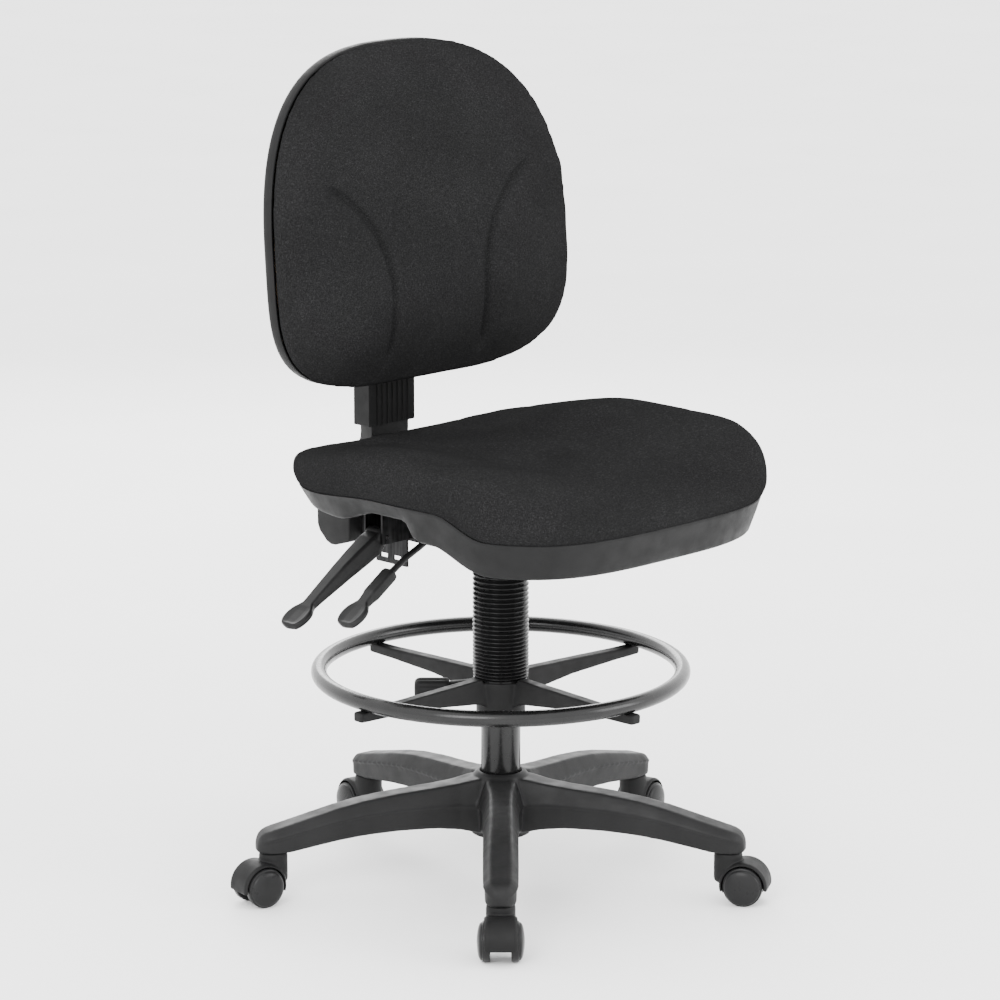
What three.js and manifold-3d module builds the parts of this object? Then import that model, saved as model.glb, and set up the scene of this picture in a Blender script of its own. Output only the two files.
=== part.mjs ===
// Drafting chair with a footring: five-arm base on twin-wheel casters, gas lift with dust bellows,
// height-adjustable footring, seat with a recline mechanism, and a back that slides on a bent bar.
// Millimetres, +Z up. The chair faces -Y, so the sitter's right hand is at -X.
// Everything is placed from the lift's axis on the floor. The last lines move the whole chair so
// that the origin lies under the middle of its box.

import * as THREE from 'three';
import { mergeVertices } from 'three/addons/utils/BufferGeometryUtils.js';
import Module from 'manifold-3d';

const wasm = await Module();
wasm.setup();

// ---------------------------------------------------------------- driving dimensions

const gap = 0.3; // clearance between pieces that touch or run in each other

const caster = {
  count: 5,
  firstAngle: 225, // direction of the first arm, degrees from +X
  circleRadius: 299,
  wheelRadius: 25,
  trail: 22, // stem axis to axle axis
  swivels: [0, 4, 6, -5, 16], // how far each has turned on its stem from straight out, degrees
  innerFace: 12.5,
  outerFace: 29,
  treadWidth: 9,
  hoodHalfWidth: 20.5,
  hoodClearance: 2.5, // between a wheel's tread and the hood
  hoodWall: 3,
  hoodLow: -19, // where the hood ends in front and behind, degrees from straight out
  hoodHigh: 172,
  webHalfWidth: 11,
  webRadius: 9.5, // of the web's round underside
  axleRadius: 3,
  stemRadius: 5.5,
  stemLength: 35,
  stemFloor: 54,
  neckRadius: 18.5,
  neckBottom: 27,
};

const base = {
  hubRadius: 34,
  hubTop: 144,
  hubBottom: 62,
  tipRadius: 22,
  tipTop: 93,
  tipBottom: 65.5,
  tipRounding: 14,
  socketDepth: 24,
  topFlat: 0.6, // share of the arm's width that stays flat on top
  footFlat: 0.72, // share of the arm's width at its underside
  pocketHalfWidth: 13,
  pocketStart: 62,
  pocketEnd: 256,
  pocketRoof: 99,
};

const lift = {
  tubeRadius: 25,
  tubeTop: 405,
  pistonRadius: 14,
  pistonTop: 462,
  pistonBottom: 68,
  buttonRadius: 5,
  buttonTop: 468,
  buttonLength: 26,
  buttonTravel: 4,
};

const footring = {
  radius: 229,
  height: 275,
  tubeRadius: 10,
  spokeCount: 4,
  spokeAngle: -1.6,
  spokeWidth: 16,
  spokeReach: 241,
  spokeDepthAtHub: 28,
  spokeDepthAtTip: 12.5,
  spokeWaist: 120, // distance from the axis where the taper eases
  spokeDepthAtWaist: 17,
  spokeRise: 5, // how far the spokes stand above the hub where they leave it
  spokeLevel: 205, // distance from the axis where the rise has run out
  hubRadius: 35.5,
  hubFootRadius: 31,
  hubHeight: 54,
  screwRadius: 2.5,
  screwHeadRadius: 5,
  screwRecess: 4.3,
  knobAngle: 135,
  knobHeight: 249,
  knobRadius: 15,
  knobStart: 66,
  knobLength: 43,
  knobStemRadius: 4,
  knobBossStart: 24,
  knobBossRadius: 11,
  knobBossRootRadius: 13,
};

const bellows = { outerRadius: 35.5, innerRadius: 31, ridges: 7 };

const mechanism = {
  bottom: 434,
  top: 488,
  earBottom: 424,
  halfWidth: 60,
  front: -60,
  back: 160,
  wall: 3,
  socketRadius: 22,
  plateHalfWidth: 100,
  plateThickness: 4,
  plateFront: -75,
  plateBack: 160,
  pivotY: 139,
  pivotZ: 438,
  pinRadius: 6,
  rodSlotHalfWidth: 7,
  rodSlotBottom: 463,
  rodSlotTop: 484,
};

const seat = {
  halfWidth: 245,
  front: -301,
  back: 188,
  frontSquareness: 3.4,
  rearSquareness: 3.9,
  shellWall: 3,
  draft: 12, // how far the shell's sides lean in at the bottom
  seamFront: 511, // height of the seam between cushion and shell in front
  seamRise: 25, // how much higher it runs along the sides
  seamFall: 9, // how far it drops again behind
  floorFront: 465, // height of the shell's underside in front
  floorRise: 27,
  floorArch: 23, // further rise of the underside at the sides
  floorFall: 17, // its drop behind
  boardBottom: 519,
  boardThickness: 11,
  boardInset: 28, // of the board's sides from the shell's
  boardMiddle: -15,
  boardHalfDepth: 172,
  boltX: 80,
  boltFrontY: -50,
  boltBackY: 145,
  boltRadius: 3,
  boltHeadRadius: 6.5,
  bossRadius: 12,
  bulge: 6,
  topFront: 553,
  topMiddle: 566,
  topRear: 554,
  frontRoll: 22, // how far the top rolls down to the front edge
  bolsterHeight: 24,
  bolsterAtRear: 0.36, // share of the bolster that is left at the rear corners
};

const clamp = {
  thickness: 3,
  front: 86,
  back: 164,
  waist: 436,
  tongueFront: 104,
  tongueBack: 160,
  bottom: 400,
  slotMiddles: [122, 146],
  slotHalfLength: 7,
  slotRise: 6, // of a slot's lower edge over the bottom
  slotHeight: 6,
};

const heightLever = {
  y: 0,
  pivotX: -40,
  pivotZ: 472.3,
  rodRadius: 4,
  bendStart: -98, // the rod is level from the pivot to here
  rodStraight: 60, // length of straight rod before the grip
  rodInGrip: 26,
  gripStartX: -190,
  gripStartZ: 433,
  tipX: -269,
  tipZ: 380,
};

const angleLever = {
  y: 105,
  pivotX: -112,
  pivotZ: 450,
  tipX: -266,
  tipZ: 359,
  // Share of the way to the tip, rise above the line to it, half width and half thickness.
  deepStations: [[0.15, 2, 13, 10], [0.32, 3, 12, 9.5], [0.52, 3, 9.5, 8]],
};

const paddle = { length: 46, width: 38, thickness: 9, neckWidth: 13 };

const backBar = {
  halfWidth: 32.5,
  thickness: 22.4,
  uprightY: 210.4,
  top: 770,
  bossRadius: 15,
  bend: [[185, 431], [226, 430], [252, 446], [250, 474], [233, 506], [216, 532]], // Y and Z, pivot to upright
  coverHalfWidth: 54,
  coverOutline: [[220, 411], [250, 402], [262, 404], [280, 420], [282, 478], [266, 492], [220, 492]],
};

const sleeve = { halfWidth: 40, bottom: 563, top: 795, thickness: 28, flangeHalfWidth: 58, boltX: 49 };

const back = {
  halfWidth: 250,
  middle: 795.5,
  top: 1053,
  bottom: 630.5,
  upperSquareness: 2.56,
  lowerSquareness: 3.45,
  rearY: 196.3, // flat behind the sleeve
  edgeY: 144, // middle of the rim at mid height
  rimHalfThickness: 15,
  seamOffset: 3, // seam between cushion and shell, in front of the middle of the rim
  hollow: 17, // how far the rim's middle lies behind its sides
  shellWall: 3,
  boardThickness: 8,
  boardShare: 0.88, // size of the board as a share of the outline
  flatShare: 0.56, // size of the flat middle of the shell's rear face
  crown: 35, // how far the cushion stands out in the middle
  crownPower: 3.2,
  lumbar: 8, // a further swell low down
  lumbarZ: 720,
  lumbarHalfHeight: 90,
  boltZ: 745,
};

// ---------------------------------------------------------------- materials

function finish(color, roughness, metalness = 0) {
  return new THREE.MeshStandardMaterial({ color, roughness, metalness });
}

const plastic = finish(0x2b2b2d, 0.55);
const satinPlastic = finish(0x222224, 0.4);
const wheelPlastic = finish(0x1c1c1e, 0.45);
const blackSteel = finish(0x141415, 0.3, 0.6);
const zincSteel = finish(0x8f9296, 0.35, 0.9);
const springSteel = finish(0x5a5c60, 0.4, 0.9);
const bellowsPlastic = finish(0x0b0b0c, 0.25);
const plywood = finish(0xb08c5a, 0.8);
const fabric = finish(0x1a1a1c, 0.95);

// ---------------------------------------------------------------- solid helpers

const rad = THREE.MathUtils.degToRad;

// Six times the volume inside an indexed geometry: negative when its faces point in.
function signedVolume(geometry) {
  const { position } = geometry.attributes;
  const corner = (k) => new THREE.Vector3().fromBufferAttribute(position, geometry.index.getX(k));
  let sum = 0;
  for (let k = 0; k < geometry.index.count; k += 3) {
    sum += corner(k).dot(corner(k + 1).cross(corner(k + 2)));
  }
  return sum;
}

// The same surface with shared vertices merged and its faces pointing out.
function facingOut(geometry) {
  const bare = geometry.clone();
  bare.deleteAttribute('normal');
  bare.deleteAttribute('uv');
  const merged = mergeVertices(bare, 1e-4);
  const corners = Array.from(merged.index.array);
  const kept = [];
  for (let k = 0; k < corners.length; k += 3) {
    const [a, b, c] = corners.slice(k, k + 3);
    if (a !== b && b !== c && a !== c) {
      kept.push(a, b, c);
    }
  }
  merged.setIndex(kept);
  if (signedVolume(merged) < 0) {
    merged.setIndex(kept.reverse());
  }
  return merged;
}

function toSolid(geometry) {
  const bare = facingOut(geometry);
  const vertProperties = new Float32Array(bare.attributes.position.array);
  const triVerts = new Uint32Array(bare.index.array);
  return new wasm.Manifold(new wasm.Mesh({ numProp: 3, vertProperties, triVerts }));
}

function toGeometry(solid) {
  const result = solid.getMesh();
  const geometry = new THREE.BufferGeometry();
  geometry.setAttribute('position', new THREE.BufferAttribute(result.vertProperties, 3));
  geometry.setIndex(new THREE.BufferAttribute(result.triVerts, 1));
  return geometry;
}

function join(first, ...others) {
  return toGeometry(others.reduce((sum, item) => sum.add(toSolid(item)), toSolid(first)));
}

function cut(first, ...others) {
  return toGeometry(others.reduce((rest, item) => rest.subtract(toSolid(item)), toSolid(first)));
}

// A closed solid through rings of equal point count, with a fan over each end.
function loft(rings) {
  const count = rings[0].length;
  const positions = rings.flat();
  const index = [];
  for (let ring = 0; ring < rings.length - 1; ring += 1) {
    for (let k = 0; k < count; k += 1) {
      const a = ring * count + k;
      const b = ring * count + ((k + 1) % count);
      index.push(a, b, b + count, a, b + count, a + count);
    }
  }
  [0, rings.length - 1].forEach((ring) => {
    const middle = [0, 1, 2].map((axis) => rings[ring].reduce((sum, p) => sum + p[axis], 0) / count);
    const centre = positions.push(middle) - 1;
    for (let k = 0; k < count; k += 1) {
      const a = ring * count + k;
      const b = ring * count + ((k + 1) % count);
      index.push(...(ring === 0 ? [centre, b, a] : [centre, a, b]));
    }
  });
  const geometry = new THREE.BufferGeometry();
  geometry.setAttribute('position', new THREE.Float32BufferAttribute(positions.flat(), 3));
  geometry.setIndex(index);
  return geometry;
}

function box(xRange, yRange, zRange) {
  const sizes = [xRange, yRange, zRange].map(([low, high]) => high - low);
  const middle = [xRange, yRange, zRange].map(([low, high]) => (high + low) / 2);
  return new THREE.BoxGeometry(...sizes).translate(...middle);
}

// An upright cylinder from one height to another.
function post(radius, low, high, segments = 20, x = 0, y = 0) {
  return new THREE.CylinderGeometry(radius, radius, high - low, segments)
    .rotateX(Math.PI / 2)
    .translate(x, y, (low + high) / 2);
}

function rodAlongX(radius, xLow, xHigh, y, z, segments = 12) {
  return new THREE.CylinderGeometry(radius, radius, xHigh - xLow, segments)
    .rotateZ(Math.PI / 2)
    .translate((xLow + xHigh) / 2, y, z);
}

function rodAlongY(radius, yLow, yHigh, x, z, segments = 12) {
  return new THREE.CylinderGeometry(radius, radius, yHigh - yLow, segments)
    .translate(x, (yLow + yHigh) / 2, z);
}

// A turned solid about Z. The profile holds [radius, height] pairs and starts and ends on the
// axis, or closes on itself.
function turned(profile, segments = 20) {
  return new THREE.LatheGeometry(profile.map((p) => new THREE.Vector2(...p)), segments)
    .rotateX(Math.PI / 2);
}

// A flat outline in the Y-Z plane, pushed out along X on both sides of x = 0.
function slabAcrossX(shape, halfWidth) {
  return new THREE.ExtrudeGeometry(shape, { depth: 2 * halfWidth, bevelEnabled: false, curveSegments: 12 })
    .translate(0, 0, -halfWidth)
    .rotateY(Math.PI / 2)
    .rotateX(Math.PI / 2);
}

// Points spread evenly along a closed outline given by a function of 0..1.
function evenOutline(point, count) {
  const curve = new THREE.CatmullRomCurve3(
    Array.from({ length: 240 }, (_, k) => new THREE.Vector3(...point(k / 240), 0)),
    true,
  );
  curve.arcLengthDivisions = 960;
  return Array.from({ length: count }, (_, k) => curve.getPointAt(k / count)).map((p) => [p.x, p.y]);
}

function signedPower(value, power) {
  return Math.sign(value) * Math.abs(value) ** power;
}

// Eases from 0 to 1 as value goes from low to high.
function ease(value, low, high) {
  return THREE.MathUtils.smoothstep(value, low, high);
}

const chair = new THREE.Group();

function add(name, geometry, material, parent = chair) {
  const mesh = new THREE.Mesh(facingOut(geometry), material);
  mesh.name = name;
  parent.add(mesh);
  return mesh;
}

// ---------------------------------------------------------------- base

// The arm's top, underside and half width at distances from the lift's axis.
const armStations = [
  { r: 6, top: 140, bottom: 66, half: 31 },
  { r: 38, top: 138, bottom: 70, half: 29 },
  { r: 80, top: 131, bottom: 79, half: 23 },
  { r: 186, top: 122, bottom: 79, half: 22.5 },
  { r: 250, top: 108, bottom: 71, half: 22.5 },
  { r: caster.circleRadius - 19, top: 101, bottom: base.tipBottom, half: base.tipRadius },
  { r: caster.circleRadius, top: base.tipTop + 1, bottom: base.tipBottom, half: base.tipRadius - 1 },
];

function armSection({ r, top, bottom, half }) {
  const height = top - bottom;
  return [
    [r, -half * base.topFlat, top],
    [r, half * base.topFlat, top],
    [r, half, top - 0.28 * height],
    [r, half * 0.97, top - 0.6 * height],
    [r, half * base.footFlat, bottom],
    [r, -half * base.footFlat, bottom],
    [r, -half * 0.97, top - 0.6 * height],
    [r, -half, top - 0.28 * height],
  ];
}

// The hollow under an arm.
function armPocket() {
  const half = base.pocketHalfWidth;
  return box([base.pocketStart, base.pocketEnd], [-half, half], [40, base.pocketRoof]);
}

function baseStar() {
  const hub = turned([
    [0, base.hubBottom],
    [base.hubRadius + 4, base.hubBottom],
    [base.hubRadius + 4, base.hubBottom + 24],
    [base.hubRadius, base.hubTop - 4],
    [base.hubRadius - 2, base.hubTop],
    [0, base.hubTop],
  ]);
  const tip = turned([
    [0, base.tipBottom],
    [base.tipRadius, base.tipBottom],
    [base.tipRadius, base.tipTop - base.tipRounding],
    [base.tipRadius - base.tipRounding * 0.4, base.tipTop - base.tipRounding * 0.3],
    [base.tipRadius - base.tipRounding, base.tipTop],
    [0, base.tipTop],
  ], 16);
  const arm = join(
    loft(armStations.map(armSection)),
    tip.translate(caster.circleRadius, 0, 0),
  );
  const socketTop = base.tipBottom + base.socketDepth;
  const socket = post(caster.stemRadius + gap, base.tipBottom - 5, socketTop, 10, caster.circleRadius);
  const hollowArm = cut(arm, socket, armPocket());
  const arms = Array.from({ length: caster.count }, (_, k) => {
    return hollowArm.clone().rotateZ(rad(caster.firstAngle + (k * 360) / caster.count));
  });
  const bore = post(lift.tubeRadius + gap, base.hubBottom - 5, base.hubTop + 5);
  return cut(join(hub, ...arms), bore);
}

add('base_star', baseStar(), plastic);

// ---------------------------------------------------------------- casters
// Each is drawn with its stem on the Z axis and its trail along +X, then turned into place.

const neckTop = base.tipBottom - gap;

function arcPoints(radius, fromDegrees, toDegrees, steps) {
  return Array.from({ length: steps + 1 }, (_, k) => {
    const angle = rad(fromDegrees + ((toDegrees - fromDegrees) * k) / steps);
    return new THREE.Vector2(radius * Math.cos(angle), radius * Math.sin(angle));
  });
}

// An outline in the X-Z plane about the axle, pushed out along Y on both sides.
function slabAtAxle(points, halfWidth) {
  return new THREE.ExtrudeGeometry(new THREE.Shape(points), { depth: 2 * halfWidth, bevelEnabled: false })
    .translate(0, 0, -halfWidth)
    .rotateX(Math.PI / 2)
    .translate(caster.trail, 0, caster.wheelRadius);
}

function casterHood() {
  const innerRadius = caster.wheelRadius + caster.hoodClearance;
  const outerRadius = innerRadius + caster.hoodWall;
  const { hoodLow, hoodHigh } = caster;
  const web = slabAtAxle(
    [...arcPoints(outerRadius - 1, 8, 176, 6), ...arcPoints(caster.webRadius, 190, 350, 3)],
    caster.webHalfWidth,
  );
  const cover = slabAtAxle(
    [...arcPoints(outerRadius, hoodLow, hoodHigh, 9), ...arcPoints(innerRadius, hoodHigh, hoodLow, 9)],
    caster.hoodHalfWidth,
  );
  const neck = turned([
    [0, caster.neckBottom],
    [caster.neckRadius - 3, caster.neckBottom],
    [caster.neckRadius, caster.neckBottom + 4],
    [caster.neckRadius, neckTop],
    [0, neckTop],
  ], 12);
  const stemHole = post(caster.stemRadius + gap, caster.stemFloor, neckTop + 5, 10);
  const axleHole = rodAlongY(caster.axleRadius + gap, -40, 40, caster.trail, caster.wheelRadius, 8);
  const wheelRoom = rodAlongY(innerRadius, caster.webHalfWidth, 60, caster.trail, caster.wheelRadius, 14);
  const otherWheelRoom = wheelRoom.clone().translate(0, -60 - caster.webHalfWidth, 0);
  return cut(join(web, cover, neck), stemHole, axleHole, wheelRoom, otherWheelRoom);
}

function casterStem() {
  const low = caster.stemFloor + gap;
  const shoulder = low + caster.stemLength - 3;
  return turned([
    [0, low],
    [caster.stemRadius, low],
    [caster.stemRadius, shoulder],
    [caster.stemRadius - 2, shoulder + 3],
    [0, shoulder + 3],
  ], 10);
}

// A wheel about the Y axis, domed on its outer side, with a blind bore for the axle.
function casterWheel(side) {
  const { wheelRadius: r, innerFace, outerFace, treadWidth } = caster;
  const bore = caster.axleRadius + gap;
  const boreEnd = outerFace - 5;
  const profile = [
    [bore, innerFace],
    [r - 1.5, innerFace],
    [r, innerFace + 1.5],
    [r, innerFace + treadWidth],
    [r - 4, innerFace + treadWidth + 3.5],
    [0, outerFace],
    [0, boreEnd],
    [bore, boreEnd],
    [bore, innerFace],
  ];
  return turned(profile, 16).rotateX(side * -Math.PI / 2).translate(caster.trail, 0, caster.wheelRadius);
}

function addCaster(number) {
  const place = new THREE.Group();
  const angle = rad(caster.firstAngle + ((number - 1) * 360) / caster.count);
  place.position.set(caster.circleRadius * Math.cos(angle), caster.circleRadius * Math.sin(angle), 0);
  place.rotation.z = angle + rad(caster.swivels[number - 1]);
  chair.add(place);
  const axleEnd = caster.outerFace - 5 - gap;
  const axle = rodAlongY(caster.axleRadius, -axleEnd, axleEnd, caster.trail, caster.wheelRadius, 8);
  add(`caster_stem_${number}`, casterStem(), zincSteel, place);
  add(`caster_hood_${number}`, casterHood(), satinPlastic, place);
  add(`caster_axle_${number}`, axle, zincSteel, place);
  add(`caster_wheel_left_${number}`, casterWheel(1), wheelPlastic, place);
  add(`caster_wheel_right_${number}`, casterWheel(-1), wheelPlastic, place);
}

for (let number = 1; number <= caster.count; number += 1) {
  addCaster(number);
}

// ---------------------------------------------------------------- gas lift

const boreRadius = lift.pistonRadius + gap;

add('lift_outer_tube', turned([
  [0, base.hubBottom],
  [lift.tubeRadius, base.hubBottom],
  [lift.tubeRadius, lift.tubeTop - 2],
  [lift.tubeRadius - 2, lift.tubeTop],
  [boreRadius, lift.tubeTop],
  [boreRadius, lift.pistonBottom - gap],
  [0, lift.pistonBottom - gap],
]), blackSteel);

const buttonBottom = lift.buttonTop - lift.buttonLength;

add('lift_piston', turned([
  [0, lift.pistonBottom],
  [lift.pistonRadius, lift.pistonBottom],
  [lift.pistonRadius, lift.pistonTop],
  [lift.buttonRadius + gap, lift.pistonTop],
  [lift.buttonRadius + gap, buttonBottom - lift.buttonTravel - gap],
  [0, buttonBottom - lift.buttonTravel - gap],
]), zincSteel);

add('lift_button', post(lift.buttonRadius, buttonBottom, lift.buttonTop, 16), zincSteel);

// ---------------------------------------------------------------- footring

const spokeTop = footring.height - footring.tubeRadius - gap;
const footHubBottom = spokeTop - footring.hubHeight;

// A round tube bent into a ring.
function ringTube() {
  return new THREE.TorusGeometry(footring.radius, footring.tubeRadius, 8, 40)
    .translate(0, 0, footring.height);
}

function spoke(angle) {
  const half = footring.spokeWidth / 2;
  const side = new THREE.Shape([
    new THREE.Vector2(20, spokeTop),
    new THREE.Vector2(footring.hubRadius + 1.5, spokeTop),
    new THREE.Vector2(footring.hubRadius + 2.5, spokeTop + footring.spokeRise),
    new THREE.Vector2(footring.spokeLevel, spokeTop),
    new THREE.Vector2(footring.spokeReach, spokeTop),
    new THREE.Vector2(footring.spokeReach, spokeTop - footring.spokeDepthAtTip),
    new THREE.Vector2(footring.spokeWaist, spokeTop - footring.spokeDepthAtWaist),
    new THREE.Vector2(footring.hubRadius, spokeTop - footring.spokeDepthAtHub),
    new THREE.Vector2(20, spokeTop - footring.spokeDepthAtHub),
  ]);
  return new THREE.ExtrudeGeometry(side, { depth: footring.spokeWidth, bevelEnabled: false })
    .translate(0, 0, -half)
    .rotateX(Math.PI / 2)
    .rotateZ(rad(angle));
}

const spokeAngles = Array.from({ length: footring.spokeCount }, (_, k) => {
  return footring.spokeAngle + (k * 360) / footring.spokeCount;
});
const screwTop = footring.height - 2;
const spokeSlope = (footring.spokeDepthAtWaist - footring.spokeDepthAtTip)
  / (footring.spokeReach - footring.spokeWaist);
const screwSeat = spokeTop - footring.spokeDepthAtTip + footring.screwRecess
  - spokeSlope * (footring.spokeReach - footring.radius + footring.screwHeadRadius);

function screwAt(angle, radius, low, high) {
  const x = footring.radius * Math.cos(rad(angle));
  const y = footring.radius * Math.sin(rad(angle));
  return post(radius, low, high, 12, x, y);
}

function screwHole(angle) {
  return screwAt(angle, footring.screwRadius + gap, screwSeat - 30, screwTop + gap);
}

function footringHub() {
  const hub = turned([
    [0, footHubBottom],
    [footring.hubFootRadius, footHubBottom],
    [footring.hubFootRadius, spokeTop - footring.spokeDepthAtHub - 4],
    [footring.hubRadius, spokeTop - 6],
    [footring.hubRadius, spokeTop],
    [0, spokeTop],
  ]);
  const bossEnd = footring.knobStart - gap;
  const { knobBossStart: bossStart, knobBossRadius, knobBossRootRadius } = footring;
  const knobBoss = new THREE.CylinderGeometry(knobBossRadius, knobBossRootRadius, bossEnd - bossStart, 16)
    .rotateZ(-Math.PI / 2)
    .translate((bossStart + bossEnd) / 2, 0, footring.knobHeight)
    .rotateZ(rad(footring.knobAngle));
  const knobHole = rodAlongX(footring.knobStemRadius + gap, 0, 90, 0, footring.knobHeight, 12)
    .rotateZ(rad(footring.knobAngle));
  const headRooms = spokeAngles.map((angle) => {
    return screwAt(angle, footring.screwHeadRadius + gap, screwSeat - 30, screwSeat);
  });
  const bore = post(lift.tubeRadius + gap, footHubBottom - 5, spokeTop + 5);
  const body = join(hub, knobBoss, ...spokeAngles.map(spoke));
  return cut(body, bore, knobHole, ...headRooms, ...spokeAngles.map(screwHole));
}

function footringKnob() {
  const { knobStart, knobLength, knobRadius, knobStemRadius } = footring;
  const end = knobStart + knobLength;
  return turned([
    [0, lift.tubeRadius + gap],
    [knobStemRadius, lift.tubeRadius + gap],
    [knobStemRadius, knobStart],
    [knobRadius - 2, knobStart],
    [knobRadius, knobStart + 3],
    [knobRadius, end - 8],
    [knobRadius - 4, end - 1.5],
    [0, end],
  ], 20)
    .rotateY(Math.PI / 2)
    .translate(0, 0, footring.knobHeight)
    .rotateZ(rad(footring.knobAngle));
}

function footringScrew(angle) {
  const head = screwAt(angle, footring.screwHeadRadius, screwSeat - 4, screwSeat - gap);
  const shank = screwAt(angle, footring.screwRadius, screwSeat - 2, screwTop);
  return join(head, shank);
}

add('footring_hub', footringHub(), satinPlastic);
add('footring_ring', cut(ringTube(), ...spokeAngles.map(screwHole)), blackSteel);
add('footring_knob', footringKnob(), satinPlastic);
spokeAngles.forEach((angle, k) => {
  add(`footring_screw_${k + 1}`, footringScrew(angle), zincSteel);
});

// ---------------------------------------------------------------- dust bellows

function dustBellows() {
  const low = spokeTop + gap;
  const high = mechanism.bottom - gap;
  const pitch = (high - low) / bellows.ridges;
  const outside = [];
  for (let k = 0; k < bellows.ridges; k += 1) {
    outside.push([bellows.innerRadius + 1.5, low + k * pitch]);
    outside.push([bellows.outerRadius, low + (k + 0.5) * pitch]);
  }
  outside.push([bellows.innerRadius + 1.5, high]);
  const inside = [[bellows.innerRadius, high], [bellows.innerRadius, low]];
  return turned([...outside, ...inside, outside[0]], 20);
}

add('dust_bellows', dustBellows(), bellowsPlastic);

// ---------------------------------------------------------------- mechanism

const pivotHole = rodAlongX(mechanism.pinRadius + gap, -200, 200, mechanism.pivotY, mechanism.pivotZ);
const earHoleRadius = 3 + gap;

function mechanismHousing() {
  const { halfWidth, front, back: rear, bottom, top, wall, socketRadius } = mechanism;
  const pan = cut(
    box([-halfWidth, halfWidth], [front, rear], [bottom, top]),
    box([-halfWidth + wall, halfWidth - wall], [front + wall, rear + 5], [bottom + wall, top + 5]),
    box([-halfWidth + wall, halfWidth - wall], [mechanism.pivotY - 30, rear + 5], [bottom - 5, top]),
  );
  const pivotEars = [-1, 1].map((side) => {
    const xRange = side < 0 ? [-halfWidth, -halfWidth + wall] : [halfWidth - wall, halfWidth];
    return box(xRange, [mechanism.pivotY - 16, rear], [mechanism.earBottom, bottom + 5]);
  });
  const socket = post(socketRadius, bottom, lift.pistonTop - 4);
  const ears = [-1, 1].map((side) => {
    const yRange = [side * 11.5 - 1.5, side * 11.5 + 1.5].map((y) => y + heightLever.y);
    return box([heightLever.pivotX - 8, heightLever.pivotX + 8], yRange, [bottom + 1, heightLever.pivotZ + 9]);
  });
  const body = join(pan, socket, ...ears, ...pivotEars);
  const pistonHole = post(boreRadius, bottom - 5, lift.pistonTop + 5);
  const rodSlot = box(
    [-halfWidth - 5, -halfWidth + 10],
    [heightLever.y - mechanism.rodSlotHalfWidth, heightLever.y + mechanism.rodSlotHalfWidth],
    [mechanism.rodSlotBottom, mechanism.rodSlotTop],
  );
  const leverPinHole = rodAlongY(
    earHoleRadius, heightLever.y - 30, heightLever.y + 30, heightLever.pivotX, heightLever.pivotZ, 12,
  );
  return cut(body, pistonHole, rodSlot, leverPinHole, pivotHole);
}

const boltPlaces = [
  [-seat.boltX, seat.boltFrontY],
  [seat.boltX, seat.boltFrontY],
  [-seat.boltX, seat.boltBackY],
  [seat.boltX, seat.boltBackY],
];
const plateBottom = mechanism.top + gap;
const plateTop = plateBottom + mechanism.plateThickness;

function mechanismTopPlate() {
  const { plateHalfWidth, plateFront, plateBack } = mechanism;
  const plate = box([-plateHalfWidth, plateHalfWidth], [plateFront, plateBack], [plateBottom, plateTop]);
  const holes = boltPlaces.map(([x, y]) => post(seat.boltRadius + gap, 480, 500, 12, x, y));
  return cut(plate, ...holes);
}

// The slotted plate that locks the back's angle, with the two ears that carry the lever.
function clampBracket() {
  const inner = -mechanism.halfWidth - gap;
  const outer = inner - clamp.thickness;
  const plate = join(
    box([outer, inner], [clamp.front, clamp.back], [clamp.waist, plateBottom - gap]),
    box([outer, inner], [clamp.tongueFront, clamp.tongueBack], [clamp.bottom, clamp.waist + 4]),
  );
  const slots = clamp.slotMiddles.map((y) => {
    const low = clamp.bottom + clamp.slotRise;
    return box([outer - 5, inner + 5], [y - clamp.slotHalfLength, y + clamp.slotHalfLength], [low, low + clamp.slotHeight]);
  });
  const ears = [-1, 1].map((side) => {
    const middle = angleLever.y + side * 15.5;
    return box(
      [angleLever.pivotX - 8, inner - 1], [middle - 1.5, middle + 1.5], [angleLever.pivotZ - 9, plateBottom - gap],
    );
  });
  const pinHole = rodAlongY(
    earHoleRadius, angleLever.y - 30, angleLever.y + 30, angleLever.pivotX, angleLever.pivotZ, 12,
  );
  return cut(join(plate, ...ears), ...slots, pinHole, pivotHole);
}

function coilSpring() {
  const coilRadius = mechanism.pinRadius + 2.4;
  const turns = 5;
  const start = backBar.halfWidth + 1;
  const end = mechanism.halfWidth - mechanism.wall - 3;
  class Coil extends THREE.Curve {
    getPoint(t) {
      const angle = t * turns * 2 * Math.PI;
      return new THREE.Vector3(
        start + 2 + (end - start - 2) * t,
        mechanism.pivotY + coilRadius * Math.cos(angle),
        mechanism.pivotZ + coilRadius * Math.sin(angle),
      );
    }
  }
  const wire = new THREE.Shape(arcPoints(1.9, 0, 270, 3));
  return new THREE.ExtrudeGeometry(wire, { steps: 44, extrudePath: new Coil(), bevelEnabled: false });
}

const pinEnd = mechanism.halfWidth + 8;

add('mechanism_housing', mechanismHousing(), blackSteel);
add('mechanism_top_plate', mechanismTopPlate(), blackSteel);
add('clamp_bracket', clampBracket(), zincSteel);
add('recline_pivot_pin', rodAlongX(
  mechanism.pinRadius, -pinEnd, pinEnd, mechanism.pivotY, mechanism.pivotZ, 20,
), zincSteel);
add('recline_spring', coilSpring(), springSteel);

// ---------------------------------------------------------------- levers

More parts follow.
